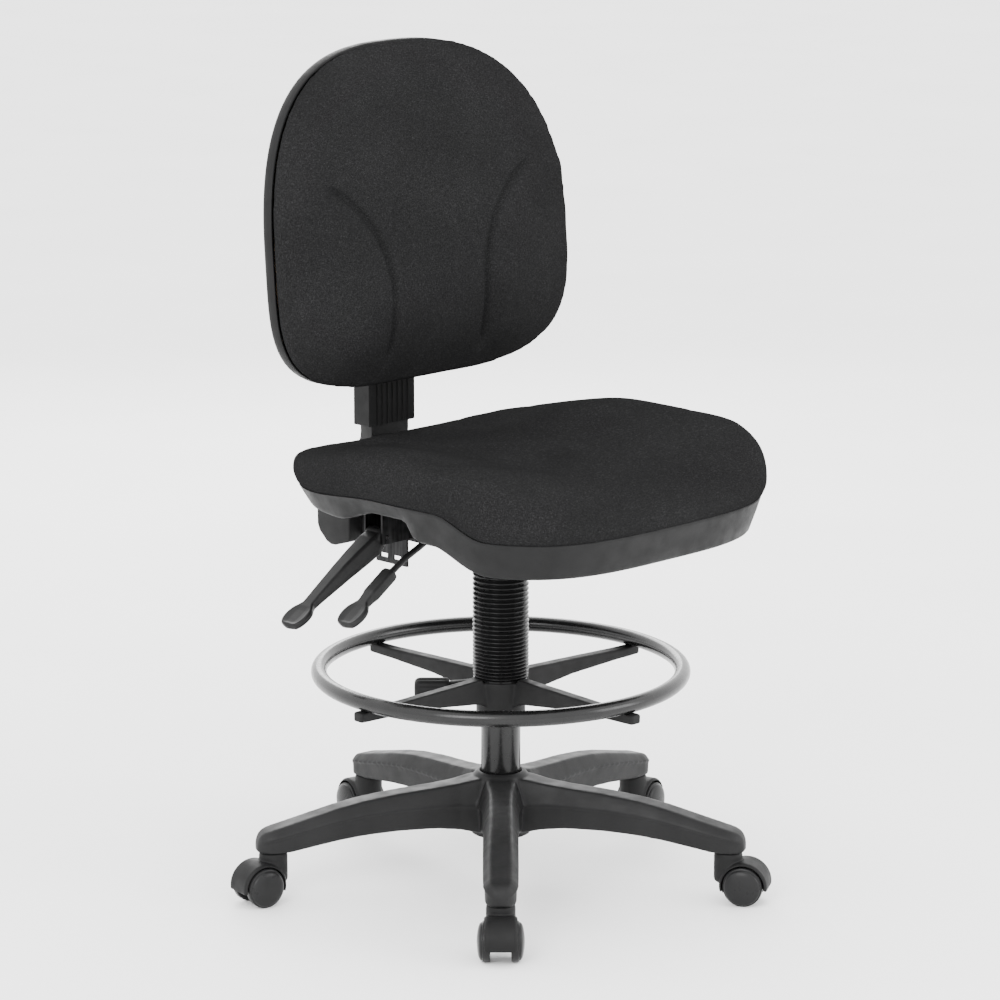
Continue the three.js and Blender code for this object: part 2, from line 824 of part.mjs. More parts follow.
// A bar in a plane of constant Y, through [x, z, halfWidth, halfThickness] stations.
function leverBar(stations, y) {
  const rings = stations.map(([x, z, halfWidth, halfThickness], k) => {
    const before = stations[Math.max(k - 1, 0)];
    const after = stations[Math.min(k + 1, stations.length - 1)];
    const along = new THREE.Vector2(after[0] - before[0], after[1] - before[1]).normalize();
    return Array.from({ length: 8 }, (_, side) => {
      const angle = (side * Math.PI) / 4;
      const across = halfWidth * Math.cos(angle);
      const up = halfThickness * Math.sin(angle);
      return [x + along.y * up, y + across, z - along.x * up];
    });
  });
  return loft(rings);
}

// Stations of an oval paddle from its neck to its tip, along the line from root to tip.
function paddleStations(rootX, rootZ, tipX, tipZ, neckHalfWidth) {
  const reach = Math.hypot(tipX - rootX, tipZ - rootZ);
  const stations = [[rootX, rootZ, neckHalfWidth, paddle.thickness / 2]];
  const steps = 6;
  for (let k = 0; k <= steps; k += 1) {
    const share = k / steps;
    const distance = reach - paddle.length * (1 - share);
    const oval = Math.sin(Math.acos(1 - 2 * Math.min(share, 0.985)));
    const halfWidth = Math.max((paddle.width / 2) * oval, share < 0.5 ? paddle.neckWidth / 2 : 1);
    const halfThickness = k === steps ? 1 : paddle.thickness / 2;
    stations.push([
      rootX + ((tipX - rootX) * distance) / reach,
      rootZ + ((tipZ - rootZ) * distance) / reach,
      halfWidth,
      halfThickness,
    ]);
  }
  return stations;
}

// Direction from the start of the grip to its tip, and a point on that line.
const gripReach = Math.hypot(heightLever.tipX - heightLever.gripStartX, heightLever.tipZ - heightLever.gripStartZ);

function onGrip(distance) {
  const share = distance / gripReach;
  return [
    THREE.MathUtils.lerp(heightLever.gripStartX, heightLever.tipX, share),
    THREE.MathUtils.lerp(heightLever.gripStartZ, heightLever.tipZ, share),
  ];
}

function heightLeverRod() {
  const { rodRadius: r, pivotX, pivotZ, bendStart } = heightLever;
  const rod = leverBar([
    [4, pivotZ, r, r],
    [bendStart, pivotZ, r, r],
    [bendStart - 20, pivotZ - 4, r, r],
    [...onGrip(-heightLever.rodStraight), r, r],
    [...onGrip(0), r, r],
    [...onGrip(heightLever.rodInGrip), r, r],
  ], heightLever.y);
  const crossPin = rodAlongY(3, heightLever.y - 15, heightLever.y + 15, pivotX, pivotZ, 12);
  return join(rod, crossPin);
}

function heightLeverGrip() {
  const { gripStartX, gripStartZ, tipX, tipZ, rodRadius } = heightLever;
  const grip = leverBar(paddleStations(gripStartX, gripStartZ, tipX, tipZ, paddle.neckWidth / 2 + 1), heightLever.y);
  const room = rodRadius + 2 * gap;
  const rodRoom = leverBar([
    [...onGrip(-30), room, room],
    [...onGrip(0), room, room],
    [...onGrip(heightLever.rodInGrip + gap), room, room],
  ], heightLever.y);
  return cut(grip, rodRoom);
}

function angleLeverBody() {
  const { pivotX, pivotZ, tipX, tipZ, y } = angleLever;
  const [root, ...head] = paddleStations(pivotX, pivotZ, tipX, tipZ, 12);
  // The arm is deep by its pivot and arches a little above the line to its tip.
  const deep = angleLever.deepStations.map(([share, rise, halfWidth, halfThickness]) => [
    THREE.MathUtils.lerp(pivotX, tipX, share),
    THREE.MathUtils.lerp(pivotZ, tipZ, share) + rise,
    halfWidth,
    halfThickness,
  ]);
  const bar = leverBar([root, ...deep, ...head], y);
  const hub = rodAlongY(11, y - 13.5, y + 13.5, pivotX, pivotZ, 20);
  const stubs = rodAlongY(3, y - 18, y + 18, pivotX, pivotZ, 12);
  return join(bar, hub, stubs);
}

add('height_lever_rod', heightLeverRod(), zincSteel);
add('height_lever_grip', heightLeverGrip(), satinPlastic);
add('angle_lever', angleLeverBody(), satinPlastic);

// ---------------------------------------------------------------- seat

const seatMiddle = (seat.front + seat.back) / 2;
const seatHalfDepth = (seat.back - seat.front) / 2;
const seatOutline = evenOutline((t) => {
  const angle = t * 2 * Math.PI;
  const power = 2 / (Math.sin(angle) < 0 ? seat.frontSquareness : seat.rearSquareness);
  return [signedPower(Math.cos(angle), power), signedPower(Math.sin(angle), power)];
}, 36);

// Height of the line where the cushion meets the shell: level along the sides, lower in front.
function seatSeam(y) {
  const front = seat.front + 96;
  return seat.seamFront + seat.seamRise * ease(y, front, front + 75) - seat.seamFall * ease(y, -30, 110);
}

// Height of the shell's underside: deep in front, arched up at the sides, lower again behind.
function shellFloor(y) {
  const front = seat.front + 106;
  const rise = seat.floorRise * ease(y, front, front + 85);
  const arch = seat.floorArch * ease(y, front + 106, front + 130);
  return seat.floorFront + rise + arch - seat.floorFall * ease(y, -10, 55);
}

// One ring of the seat's outline, moved out by grow or shrunk by share, at a height given by Y.
function seatRing(grow, share, height) {
  return seatOutline.map(([u, v]) => {
    const x = u * (seat.halfWidth + grow) * share;
    const y = seatMiddle + v * (seatHalfDepth + grow) * share;
    return [x, y, height(y, x)];
  });
}

function seatShell() {
  const wall = seat.shellWall;
  const outside = [0.3, 0.75].map((share) => seatRing(-seat.draft, share, shellFloor));
  const inside = [0.75, 0.3].map((share) => {
    return seatRing(-seat.draft, share, (y) => shellFloor(y) + wall);
  });
  const pan = loft([
    ...outside,
    seatRing(-seat.draft - 8, 1, shellFloor),
    seatRing(-seat.draft, 1, (y) => shellFloor(y) + 5),
    seatRing(0, 1, seatSeam),
    seatRing(-wall, 1, seatSeam),
    seatRing(-seat.draft - wall, 1, (y) => shellFloor(y) + 7),
    seatRing(-seat.draft - wall - 8, 1, (y) => shellFloor(y) + wall),
    ...inside,
  ]);
  const bosses = boltPlaces.map(([x, y]) => {
    return post(seat.bossRadius, plateTop + gap, seat.boardBottom - gap, 16, x, y);
  });
  const holes = boltPlaces.map(([x, y]) => post(seat.boltRadius + gap, 480, 540, 12, x, y));
  return cut(join(pan, ...bosses), ...holes);
}

function seatBoard() {
  const boardTop = seat.boardBottom + seat.boardThickness;
  const rings = [seat.boardBottom, boardTop].map((z) => {
    return seatOutline.map(([u, v]) => [
      u * (seat.halfWidth - seat.boardInset),
      seat.boardMiddle + v * seat.boardHalfDepth,
      z,
    ]);
  });
  const holes = boltPlaces.map(([x, y]) => post(seat.boltRadius + gap, 510, boardTop - 1, 12, x, y));
  return cut(loft(rings), ...holes);
}

// Top of the cushion: bolsters along the sides, lower behind and rolled down in front.
function cushionTop(y, x) {
  const frontRise = ease(y, seat.front, seat.front + 150);
  const rearFall = ease(y, 0, seat.back);
  const middleLine = seat.topFront + (seat.topMiddle - seat.topFront) * frontRise
    - (seat.topMiddle - seat.topRear) * rearFall;
  const roll = seat.frontRoll * (1 - ease(y, seat.front - 20, seat.front + 70));
  const fall = (1 - seat.bolsterAtRear) * ease(y, seat.back - 210, seat.back - 10);
  const along = ease(y, seat.front - 20, seat.front + 130) * (1 - fall);
  const bolster = seat.bolsterHeight * along * ease(Math.abs(x), 80, seat.halfWidth - 25);
  return middleLine - roll + bolster;
}

function seatCushion() {
  const cushionFloor = seat.boardBottom + seat.boardThickness + gap;
  const seam = (y) => seatSeam(y) + gap;
  const under = [0.3, 0.9].map((share) => seatRing(0, share, () => cushionFloor));
  const edge = (share) => (y, x) => THREE.MathUtils.lerp(seam(y), cushionTop(y, x), share);
  return loft([
    ...under,
    seatRing(-6, 1, (y) => Math.max(seam(y), Math.min(cushionFloor, seam(y) + 6))),
    seatRing(0, 1, (y) => seam(y) + 2),
    seatRing(seat.bulge * 0.8, 1, edge(0.2)),
    seatRing(seat.bulge, 1, edge(0.6)),
    seatRing(seat.bulge * 0.4, 1, edge(0.88)),
    seatRing(-9, 1, edge(0.985)),
    ...[0.8, 0.55, 0.25].map((share) => seatRing(0, share, cushionTop)),
  ]);
}

function seatBolt([x, y]) {
  const head = post(seat.boltHeadRadius, plateBottom - gap - 4, plateBottom - gap, 12, x, y);
  const shank = post(seat.boltRadius, plateBottom - 2, seat.boardBottom + seat.boardThickness - 2, 12, x, y);
  return join(head, shank);
}

add('seat_shell', seatShell(), satinPlastic);
add('seat_board', seatBoard(), plywood);
add('seat_cushion', seatCushion(), fabric);
boltPlaces.forEach((place, k) => {
  add(`seat_bolt_${k + 1}`, seatBolt(place), zincSteel);
});

// ---------------------------------------------------------------- back bar

// Middle line of the bent bar in the Y-Z plane: from the pivot, back, round the bend and up.
const barLine = new THREE.CatmullRomCurve3([
  [mechanism.pivotY, mechanism.pivotZ],
  ...backBar.bend,
  [backBar.uprightY, sleeve.bottom - 12],
  [backBar.uprightY, sleeve.bottom - 2],
  [backBar.uprightY, 640],
  [backBar.uprightY, backBar.top],
].map(([y, z]) => new THREE.Vector3(0, y, z)), false, 'centripetal');

const barSteps = 24;

// The outline that follows the middle line at a set distance on both sides, between two steps.
function ribbon(curve, from, to, halfThickness) {
  const sides = [[], []];
  for (let k = from; k <= to; k += 1) {
    const t = k / barSteps;
    const point = curve.getPoint(t);
    const tangent = curve.getTangent(t);
    [1, -1].forEach((sign, which) => {
      sides[which].push(new THREE.Vector2(
        point.y - sign * halfThickness * tangent.z,
        point.z + sign * halfThickness * tangent.y,
      ));
    });
  }
  return new THREE.Shape([...sides[0], ...sides[1].reverse()]);
}

function backBarBody() {
  const bar = slabAcrossX(ribbon(barLine, 0, barSteps, backBar.thickness / 2), backBar.halfWidth);
  const boss = rodAlongX(
    backBar.bossRadius, -backBar.halfWidth, backBar.halfWidth, mechanism.pivotY, mechanism.pivotZ, 24,
  );
  return cut(join(bar, boss), pivotHole);
}

// The moulded cover round the bend, open where the bar goes in and comes out.
function backBarCover() {
  const outline = new THREE.Shape(backBar.coverOutline.map(([y, z]) => new THREE.Vector2(y, z)));
  const room = slabAcrossX(
    ribbon(barLine, 2, 17, backBar.thickness / 2 + gap), backBar.halfWidth + gap,
  );
  return cut(slabAcrossX(outline, backBar.coverHalfWidth), room);
}

add('back_bar', backBarBody(), blackSteel);
add('back_bar_cover', backBarCover(), satinPlastic);

function backSleeve() {
  const front = back.rearY + gap;
  const rear = front + sleeve.thickness;
  const half = backBar.thickness / 2 + gap;
  const body = join(
    box([-sleeve.halfWidth, sleeve.halfWidth], [front, rear], [sleeve.bottom, sleeve.top]),
    box([-sleeve.flangeHalfWidth, sleeve.flangeHalfWidth], [front, front + 5], [back.boltZ - 40, back.boltZ + 40]),
  );
  const room = box(
    [-backBar.halfWidth - gap, backBar.halfWidth + gap],
    [backBar.uprightY - half, backBar.uprightY + half],
    [sleeve.bottom - 5, backBar.top + gap],
  );
  return cut(body, room, ...boltHoles());
}

add('back_sleeve', backSleeve(), satinPlastic);

// ---------------------------------------------------------------- back

const backOutline = evenOutline((t) => {
  const angle = t * 2 * Math.PI;
  const upper = Math.sin(angle) >= 0;
  const power = 2 / (upper ? back.upperSquareness : back.lowerSquareness);
  const reach = upper ? back.top - back.middle : back.middle - back.bottom;
  return [back.halfWidth * signedPower(Math.cos(angle), power), reach * signedPower(Math.sin(angle), power)];
}, 32);

// Middle of the rim in Y: it leans back with height, and its sides come forward.
function rimY(x, z) {
  const height = (z - 800) / 200;
  const lean = 15.4 * height + 9 * height ** 2;
  return back.edgeY + lean + back.hollow * (1 - (x / back.halfWidth) ** 2);
}

// Rear face of the shell: flat behind the sleeve, curving forward to the rim.
function shellRear(x, z, share) {
  const outward = Math.max(share - back.flatShare, 0) / (1 - back.flatShare);
  return THREE.MathUtils.lerp(back.rearY, rimY(x, z) + back.rimHalfThickness, outward ** 1.4);
}

// Front of the cushion: a full crown, with a lumbar swell low down.
function cushionFront(x, z, share) {
  const crown = back.crown * (1 - share ** back.crownPower);
  const height = (z - back.lumbarZ) / back.lumbarHalfHeight;
  const lumbar = back.lumbar * Math.exp(-(height ** 2)) * (1 - share ** 2);
  return rimY(x, z) - back.rimHalfThickness - crown - lumbar;
}

function backRing(share, depth) {
  return backOutline.map(([u, v]) => {
    const x = u * share;
    const z = back.middle + v * share;
    return [x, depth(x, z, share), z];
  });
}

// Sizes of the rings that the shell, the board and the cushion's rear face share.
const panShares = [0.3, 0.65, back.boardShare];

function boltHoles() {
  return [-1, 1].map((side) => {
    return rodAlongY(seat.boltRadius + gap, 150, 220, side * sleeve.boltX, back.boltZ, 12);
  });
}

function backShell() {
  const wall = back.shellWall;
  const rimRear = (x, z) => rimY(x, z) + back.rimHalfThickness;
  const seam = (x, z) => rimY(x, z) - back.seamOffset;
  const pan = loft([
    ...panShares.map((share) => backRing(share, shellRear)),
    backRing(0.98, rimRear),
    backRing(1, (x, z) => rimRear(x, z) - 5),
    backRing(1, seam),
    backRing(0.985, seam),
    backRing(0.97, (x, z) => rimRear(x, z) - wall - 2),
    ...panShares.toReversed().map((share) => backRing(share, (x, z) => shellRear(x, z, share) - wall)),
  ]);
  return cut(pan, ...boltHoles());
}

const boardRear = (x, z, share) => shellRear(x, z, share) - back.shellWall - gap;
const boardFront = (x, z, share) => boardRear(x, z, share) - back.boardThickness;

function backBoard() {
  const slab = loft([
    ...panShares.map((share) => backRing(share, boardFront)),
    ...panShares.toReversed().map((share) => backRing(share, boardRear)),
  ]);
  return cut(slab, ...boltHoles());
}

function backCushion() {
  const rimFront = (x, z) => rimY(x, z) - back.rimHalfThickness;
  const seam = (x, z) => rimY(x, z) - back.seamOffset - gap;
  return loft([
    ...panShares.map((share) => backRing(share, (x, z) => boardFront(x, z, share) - gap)),
    backRing(0.965, seam),
    backRing(1, seam),
    backRing(1, (x, z) => seam(x, z) - 5),
    backRing(0.985, (x, z) => rimFront(x, z) + 2),
    ...[0.94, 0.8, 0.6, 0.35, 0.1].map((share) => backRing(share, cushionFront)),
  ]);
}

function backBolt(side) {
  const x = side * sleeve.boltX;
  const headStart = back.rearY + gap + 5 + gap;
  const tip = back.rearY - back.shellWall - gap - back.boardThickness + 2;
  return join(
    rodAlongY(seat.boltHeadRadius, headStart, headStart + 4, x, back.boltZ, 12),
    rodAlongY(seat.boltRadius, tip, headStart + 2, x, back.boltZ, 12),
  );
}

add('back_shell', backShell(), satinPlastic);
add('back_board', backBoard(), plywood);
add('back_cushion', backCushion(), fabric);
add('back_bolt_left', backBolt(1), zincSteel);
add('back_bolt_right', backBolt(-1), zincSteel);

// ---------------------------------------------------------------- origin

const bounds = new THREE.Box3().setFromObject(chair, true);
const middle = bounds.getCenter(new THREE.Vector3());
chair.position.set(-middle.x, -middle.y, 0);
const part = new THREE.Group();
part.add(chair);

export default part;
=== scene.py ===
"""Looks of a drafting chair with a footring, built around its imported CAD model.

Shapes are drawn in millimetres from the lift's axis, as the CAD is, and moved into the frame at the
end. The chair faces -Y, and the sitter's right hand is at -X.
"""

import math

import bmesh
import bpy
from mathutils import Matrix, Vector


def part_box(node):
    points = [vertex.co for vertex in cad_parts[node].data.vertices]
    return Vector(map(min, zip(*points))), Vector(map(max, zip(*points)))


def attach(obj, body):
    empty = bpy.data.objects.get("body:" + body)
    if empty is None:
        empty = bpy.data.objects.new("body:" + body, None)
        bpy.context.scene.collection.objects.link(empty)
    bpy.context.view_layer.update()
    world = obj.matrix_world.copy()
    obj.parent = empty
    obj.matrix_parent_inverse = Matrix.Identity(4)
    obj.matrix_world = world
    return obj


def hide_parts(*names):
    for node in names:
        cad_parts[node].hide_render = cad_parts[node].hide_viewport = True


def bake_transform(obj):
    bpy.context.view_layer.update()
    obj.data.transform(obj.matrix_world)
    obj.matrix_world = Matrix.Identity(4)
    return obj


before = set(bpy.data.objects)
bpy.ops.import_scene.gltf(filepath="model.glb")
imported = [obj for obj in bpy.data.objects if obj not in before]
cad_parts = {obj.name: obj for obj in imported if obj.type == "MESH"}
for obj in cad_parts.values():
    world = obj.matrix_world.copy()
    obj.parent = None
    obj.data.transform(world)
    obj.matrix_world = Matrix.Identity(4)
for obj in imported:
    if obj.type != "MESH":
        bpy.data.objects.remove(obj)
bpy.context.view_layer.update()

MM = 0.001
TUBE_LOW, TUBE_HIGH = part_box("lift_outer_tube")
AXIS = Vector(((TUBE_LOW.x + TUBE_HIGH.x) / 2, (TUBE_LOW.y + TUBE_HIGH.y) / 2, 0))
TO_FRAME = Matrix.Translation(AXIS) @ Matrix.Scale(MM, 4)


def corners(node):
    """Lowest and highest corner of a CAD node, in millimetres from the lift's axis."""
    return [(corner - AXIS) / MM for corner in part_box(node)]


# ---- small maths


def clamp(value, low=0.0, high=1.0):
    return max(low, min(high, value))


def ease(value, low, high):
    """Eases from 0 to 1 as value goes from low to high."""
    t = clamp((value - low) / (high - low))
    return t * t * (3 - 2 * t)


def lerp(a, b, t):
    return a + (b - a) * t


def signed_power(value, power):
    return math.copysign(abs(value) ** power, value)


def bell(distance, width):
    return math.exp(-((distance / width) ** 2))


def along(stations, value):
    """Smooth value between stations, each a number and what belongs to it."""
    for (a, at_a), (b, at_b) in zip(stations, stations[1:]):
        if value <= b:
            return lerp(at_a, at_b, clamp((value - a) / (b - a)))
    return stations[-1][1]


def even_outline(point, count):
    """Points spread evenly along a closed outline given by a function of 0..1."""
    fine = [Vector(point(k / 1440)) for k in range(1441)]
    lengths = [0.0]
    for a, b in zip(fine, fine[1:]):
        lengths.append(lengths[-1] + (b - a).length)
    found = []
    k = 0
    for n in range(count):
        target = lengths[-1] * n / count
        while lengths[k + 1] < target:
            k += 1
        share = (target - lengths[k]) / (lengths[k + 1] - lengths[k])
        found.append(fine[k].lerp(fine[k + 1], share).to_tuple())
    return found


# ---- mesh helpers


def loft(rings, closed=True):
    """A surface through rings of equal point count, with a fan over each end if it is closed."""
    count = len(rings[0])
    points = [tuple(p) for ring in rings for p in ring]
    faces = []
    for row in range(len(rings) - 1):
        for k in range(count):
            a, b = row * count + k, row * count + (k + 1) % count
            faces.append((a, b, b + count, a + count))
    if closed:
        for row in (0, len(rings) - 1):
            middle = [sum(p[i] for p in rings[row]) / count for i in range(3)]
            points.append(tuple(middle))
            for k in range(count):
                a, b = row * count + k, row * count + (k + 1) % count
                faces.append((a, b, len(points) - 1))
    return points, faces


def ring_sweep(sections):
    """A closed band through sections that form a loop, such as a tyre or a ring."""
    count, rows = len(sections[0]), len(sections)
    points = [tuple(p) for section in sections for p in section]
    faces = []
    for row in range(rows):
        for k in range(count):
            a, b = row * count + k, row * count + (k + 1) % count
            c, d = ((row + 1) % rows) * count + (k + 1) % count, ((row + 1) % rows) * count + k
            faces.append((a, b, c, d))
    return points, faces


def round_points(count):
    """Points spread evenly round a circle of radius 1."""
    angles = [2 * math.pi * k / count for k in range(count)]
    return [(math.cos(angle), math.sin(angle)) for angle in angles]


def lathe(profile, segments=64):
    """A turned solid about Z from [radius, height] pairs that start and end on the axis or meet."""
    rings = [[(r * x, r * y, z) for r, z in profile] for x, y in round_points(segments)]
    points = [p for ring in rings for p in ring]
    count = len(profile)
    faces = []
    for k in range(segments):
        for row in range(count - 1):
            a, b = k * count + row, ((k + 1) % segments) * count + row
            faces.append((a, b, b + 1, a + 1))
    return points, faces


def prism(outline, half_width):
    """A flat outline in the Y-Z plane, pushed out along X on both sides of x = 0."""
    count = len(outline)
    points = [(side * half_width, y, z) for side in (-1, 1) for y, z in outline]
    faces = [tuple(range(count)), tuple(range(2 * count - 1, count - 1, -1))]
    for k in range(count):
        after = (k + 1) % count
        faces.append((k, after, after + count, k + count))
    return points, faces


def block(x_range, y_range, z_range):
    """A box between two numbers on each axis."""
    left, right = x_range
    near, far = y_range
    low, high = z_range
    points, faces = prism([(near, low), (far, low), (far, high), (near, high)], (right - left) / 2)
    middle = (left + right) / 2
    return [(x + middle, y, z) for x, y, z in points], faces


def rod(radius, low, high, segments=24):
    """A plain cylinder about Z."""
    return lathe([(0, low), (radius, low), (radius, high), (0, high)], segments)


def chamfered_rod(radius, half, step, segments):
    """A cylinder about Z and around z = 0, with chamfered ends."""
    return lathe([
        (0, -half), (radius - step, -half), (radius, step - half),
        (radius, half - step), (radius - step, half), (0, half),
    ], segments)


def tangents(points):
    """Unit tangents of a flat line at its points, pointing along it."""
    found = []
    for k in range(len(points)):
        before, after = points[max(k - 1, 0)], points[min(k + 1, len(points) - 1)]
        found.append(Vector((after[0] - before[0], after[1] - before[1])).normalized())
    return found


def moved(part, matrix):
    points, faces = part
    return [tuple(matrix @ Vector(p)) for p in points], faces


def rotation(degrees, axis="Z"):
    return Matrix.Rotation(math.radians(degrees), 4, axis)


def shift(x, y, z):
    return Matrix.Translation((x, y, z))


def placed(name, data):
    """A new object in the scene."""
    obj = bpy.data.objects.new(name, data)
    bpy.context.scene.collection.objects.link(obj)
    return obj


def solid(name, parts, crease=35):
    """A mesh object from one part or several, moved into the frame, with sharp edges kept."""
    parts = parts if isinstance(parts, list) else [parts]
    points, faces = [], []
    for part_points, part_faces in parts:
        faces += [tuple(k + len(points) for k in face) for face in part_faces]
        points += part_points
    mesh = bpy.data.meshes.new(name)
    mesh.from_pydata(points, [], faces)
    mesh.transform(TO_FRAME)
    made = bmesh.new()
    made.from_mesh(mesh)
    bmesh.ops.remove_doubles(made, verts=made.verts, dist=0.02 * MM)
    bmesh.ops.dissolve_degenerate(made, edges=made.edges, dist=0.01 * MM)
    bmesh.ops.recalc_face_normals(made, faces=made.faces)
    made.to_mesh(mesh)
    made.free()
    smooth(mesh, crease)
    return placed(name, mesh)


def smooth(mesh, crease=35):
    mesh.shade_smooth()
    mesh.set_sharp_from_angle(angle=math.radians(crease))


def bake(obj):
    """Applies the object's modifiers."""
    bpy.context.view_layer.update()
    shaped = obj.evaluated_get(bpy.context.evaluated_depsgraph_get())
    mesh = bpy.data.meshes.new_from_object(shaped)
    obj.modifiers.clear()
    obj.data = mesh
    return obj


def fuse(obj, voxel, rounds):
    """Melts overlapping parts into one even skin with soft fillets. voxel is in millimetres."""
    remesh = obj.modifiers.new("fuse", "REMESH")
    remesh.mode = "VOXEL"
    remesh.voxel_size = voxel * MM
    relax = obj.modifiers.new("relax", "SMOOTH")
    relax.iterations = rounds
    relax.factor = 0.5
    bake(obj)
    obj.data.shade_smooth()
    return obj


def rounded(obj, width, segments=3, angle=35):
    """Rounds an object's sharp edges. width is in millimetres."""
    bevel = obj.modifiers.new("rounded", "BEVEL")
    bevel.width = width * MM
    bevel.segments = segments
    bevel.limit_method = "ANGLE"
    bevel.angle_limit = math.radians(angle)
    return obj


def carve(obj, tools, operation="DIFFERENCE"):
    """Cuts tool objects out of an object, or joins them to it where the operation is UNION."""
    for tool in tools:
        cut = obj.modifiers.new("cut", "BOOLEAN")
        cut.operation = operation
        cut.solver = "EXACT"
        cut.object = tool
    bake(obj)
    for tool in tools:
        bpy.data.objects.remove(tool)
    smooth(obj.data)
    return obj


def paint(obj, material):
    obj.data.materials.clear()
    obj.data.materials.append(material)


def settle(obj, body, slot, material, *nodes):
    """Gives a finished piece its material and body, and the CAD nodes it stands for. Its record slot is not
    used.
    """
    paint(obj, material)
    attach(obj, body)
    if nodes:
        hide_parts(*nodes)


# ---- materials


class Shader:
    """A node material around one Principled shader, built step by step."""

    def __init__(self, name, roughness, metallic=0.0, specular=0.5):
        self.material = bpy.data.materials.new(name)
        self.material.use_nodes = True
        self.tree = self.material.node_tree
        self.principled = self.tree.nodes["Principled BSDF"]
        self.principled.inputs["Roughness"].default_value = roughness
        self.principled.inputs["Metallic"].default_value = metallic
        self.principled.inputs["Specular IOR Level"].default_value = specular
        self.place = self.node("TexCoord").outputs["Object"]

    def node(self, kind):
        return self.tree.nodes.new("ShaderNode" + kind)

    def link(self, output, node, socket):
        self.tree.links.new(output, node.inputs[socket])

    def noise(self, scale, detail=2.0, stretch=None, roughness=0.5):
        node = self.node("TexNoise")
        node.inputs["Scale"].default_value = scale
        node.inputs["Detail"].default_value = detail
        node.inputs["Roughness"].default_value = roughness
        self.link(self.stretched(stretch), node, "Vector")
        return node.outputs["Fac"]

    def stretched(self, stretch):
        if stretch is None:
            return self.place
        node = self.node("Mapping")
        node.inputs["Scale"].default_value = stretch
        self.link(self.place, node, "Vector")
        return node.outputs["Vector"]

    def maths(self, operation, a, b):
        node = self.node("Math")
        node.operation = operation
        for socket, value in enumerate((a, b)):
            if isinstance(value, (int, float)):
                node.inputs[socket].default_value = value
            else:
                self.link(value, node, socket)
        return node.outputs[0]

    def mix(self, a, share_a, b, share_b):
        return self.maths("ADD", self.maths("MULTIPLY", a, share_a), self.maths("MULTIPLY", b, share_b))

    def spread(self, value, low, high):
        """Spreads the middle of a noise's range from low to high."""
        node = self.node("MapRange")
        for socket, number in {"From Min": 0.3, "From Max": 0.7, "To Min": low, "To Max": high}.items():
            node.inputs[socket].default_value = number
        self.link(value, node, "Value")
        return node.outputs["Result"]

    def colours(self, value, stops):
        """Colours by value. A stop is a place and a colour, or a grey, which gets a touch of blue."""
        node = self.node("ValToRGB")
        ramp = node.color_ramp
        while len(ramp.elements) < len(stops):
            ramp.elements.new(0.5)
        for element, (place, colour) in zip(ramp.elements, stops):
            if not isinstance(colour, tuple):
                colour = (colour, colour, colour * 1.02)
            element.position = place
            element.color = (*colour, 1)
        self.link(value, node, "Fac")
        self.link(node.outputs["Color"], self.principled, "Base Color")

    def roughness(self, value, low, high):
        self.link(self.spread(value, low, high), self.principled, "Roughness")

    def bump(self, value, distance, strength=1.0):
        node = self.node("Bump")
        node.inputs["Strength"].default_value = strength
        node.inputs["Distance"].default_value = distance
        self.link(value, node, "Height")
        if self.principled.inputs["Normal"].is_linked:
            self.link(self.principled.inputs["Normal"].links[0].from_socket, node, "Normal")
        self.link(node.outputs["Normal"], self.principled, "Normal")


def woven_fabric():
    """Black crepe upholstery: crossed irregular threads with lighter fibres and a broad fading."""
    shader = Shader("woven_fabric", 0.95, specular=0.0)
    warp = shader.noise(680, 2.0, (0.45, 0.45, 1.5))
    weft = shader.noise(680, 2.0, (1.5, 1.5, 0.45))
    knots = shader.noise(950, 2.0, roughness=0.6)
    threads = shader.maths("MAXIMUM", warp, weft)
    cloth = shader.mix(threads, 0.6, knots, 0.4)
    broad = shader.maths("SUBTRACT", shader.noise(9, 2.0), 0.5)
    tone = shader.maths("ADD", cloth, shader.maths("MULTIPLY", broad, 0.12))
    shader.colours(tone, [(0.36, 0.0054), (0.54, 0.0105), (0.66, 0.019), (0.8, 0.035)])
    shader.roughness(knots, 0.88, 0.98)
    shader.bump(cloth, 0.0006, 0.8)
    return shader.material


def moulded_plastic(name, dark, light, roughness, grain, grain_scale):
    """Black moulded plastic: a fine spark-eroded grain, faint flow marks and scuffed patches."""
    shader = Shader(name, roughness, specular=0.12)
    flow = shader.noise(14, 4.0, (1, 1, 0.35))
    speck = shader.noise(grain_scale, 2.0)
    shader.colours(shader.mix(flow, 0.75, speck, 0.25), [(0.32, dark), (0.68, light)])
    shader.roughness(shader.noise(55, 3.0), roughness - 0.06, roughness + 0.1)
    shader.bump(speck, grain, 0.6)
    shader.bump(shader.noise(26, 2.0), 0.0006, 0.12)
    return shader.material


def coated_steel(name, dark, light, roughness, coat):
    """Black powder coat over steel: a low orange peel under a clear gloss."""
    shader = Shader(name, roughness, specular=0.22)
    shader.colours(shader.noise(40, 3.0), [(0.35, dark), (0.65, light)])
    shader.roughness(shader.noise(120, 2.0), roughness - 0.04, roughness + 0.06)
    shader.bump(shader.noise(300, 1.0), 0.00001, 0.15)
    shader.principled.inputs["Coat Weight"].default_value = coat
    shader.principled.inputs["Coat Roughness"].default_value = 0.22
    return shader.material


def zinc_plate(name, dark, light, roughness):
    """Zinc-plated steel: brushed streaks and cloudy spangle."""
    shader = Shader(name, roughness, metallic=1.0)
    streaks = shader.noise(260, 3.0, (1, 1, 0.08))
    cloud = shader.noise(70, 2.0)
    shader.colours(shader.mix(streaks, 0.6, cloud, 0.4), [(0.35, dark), (0.65, light)])
    shader.roughness(cloud, roughness - 0.08, roughness + 0.14)
    shader.bump(streaks, 0.00008, 0.4)
    return shader.material


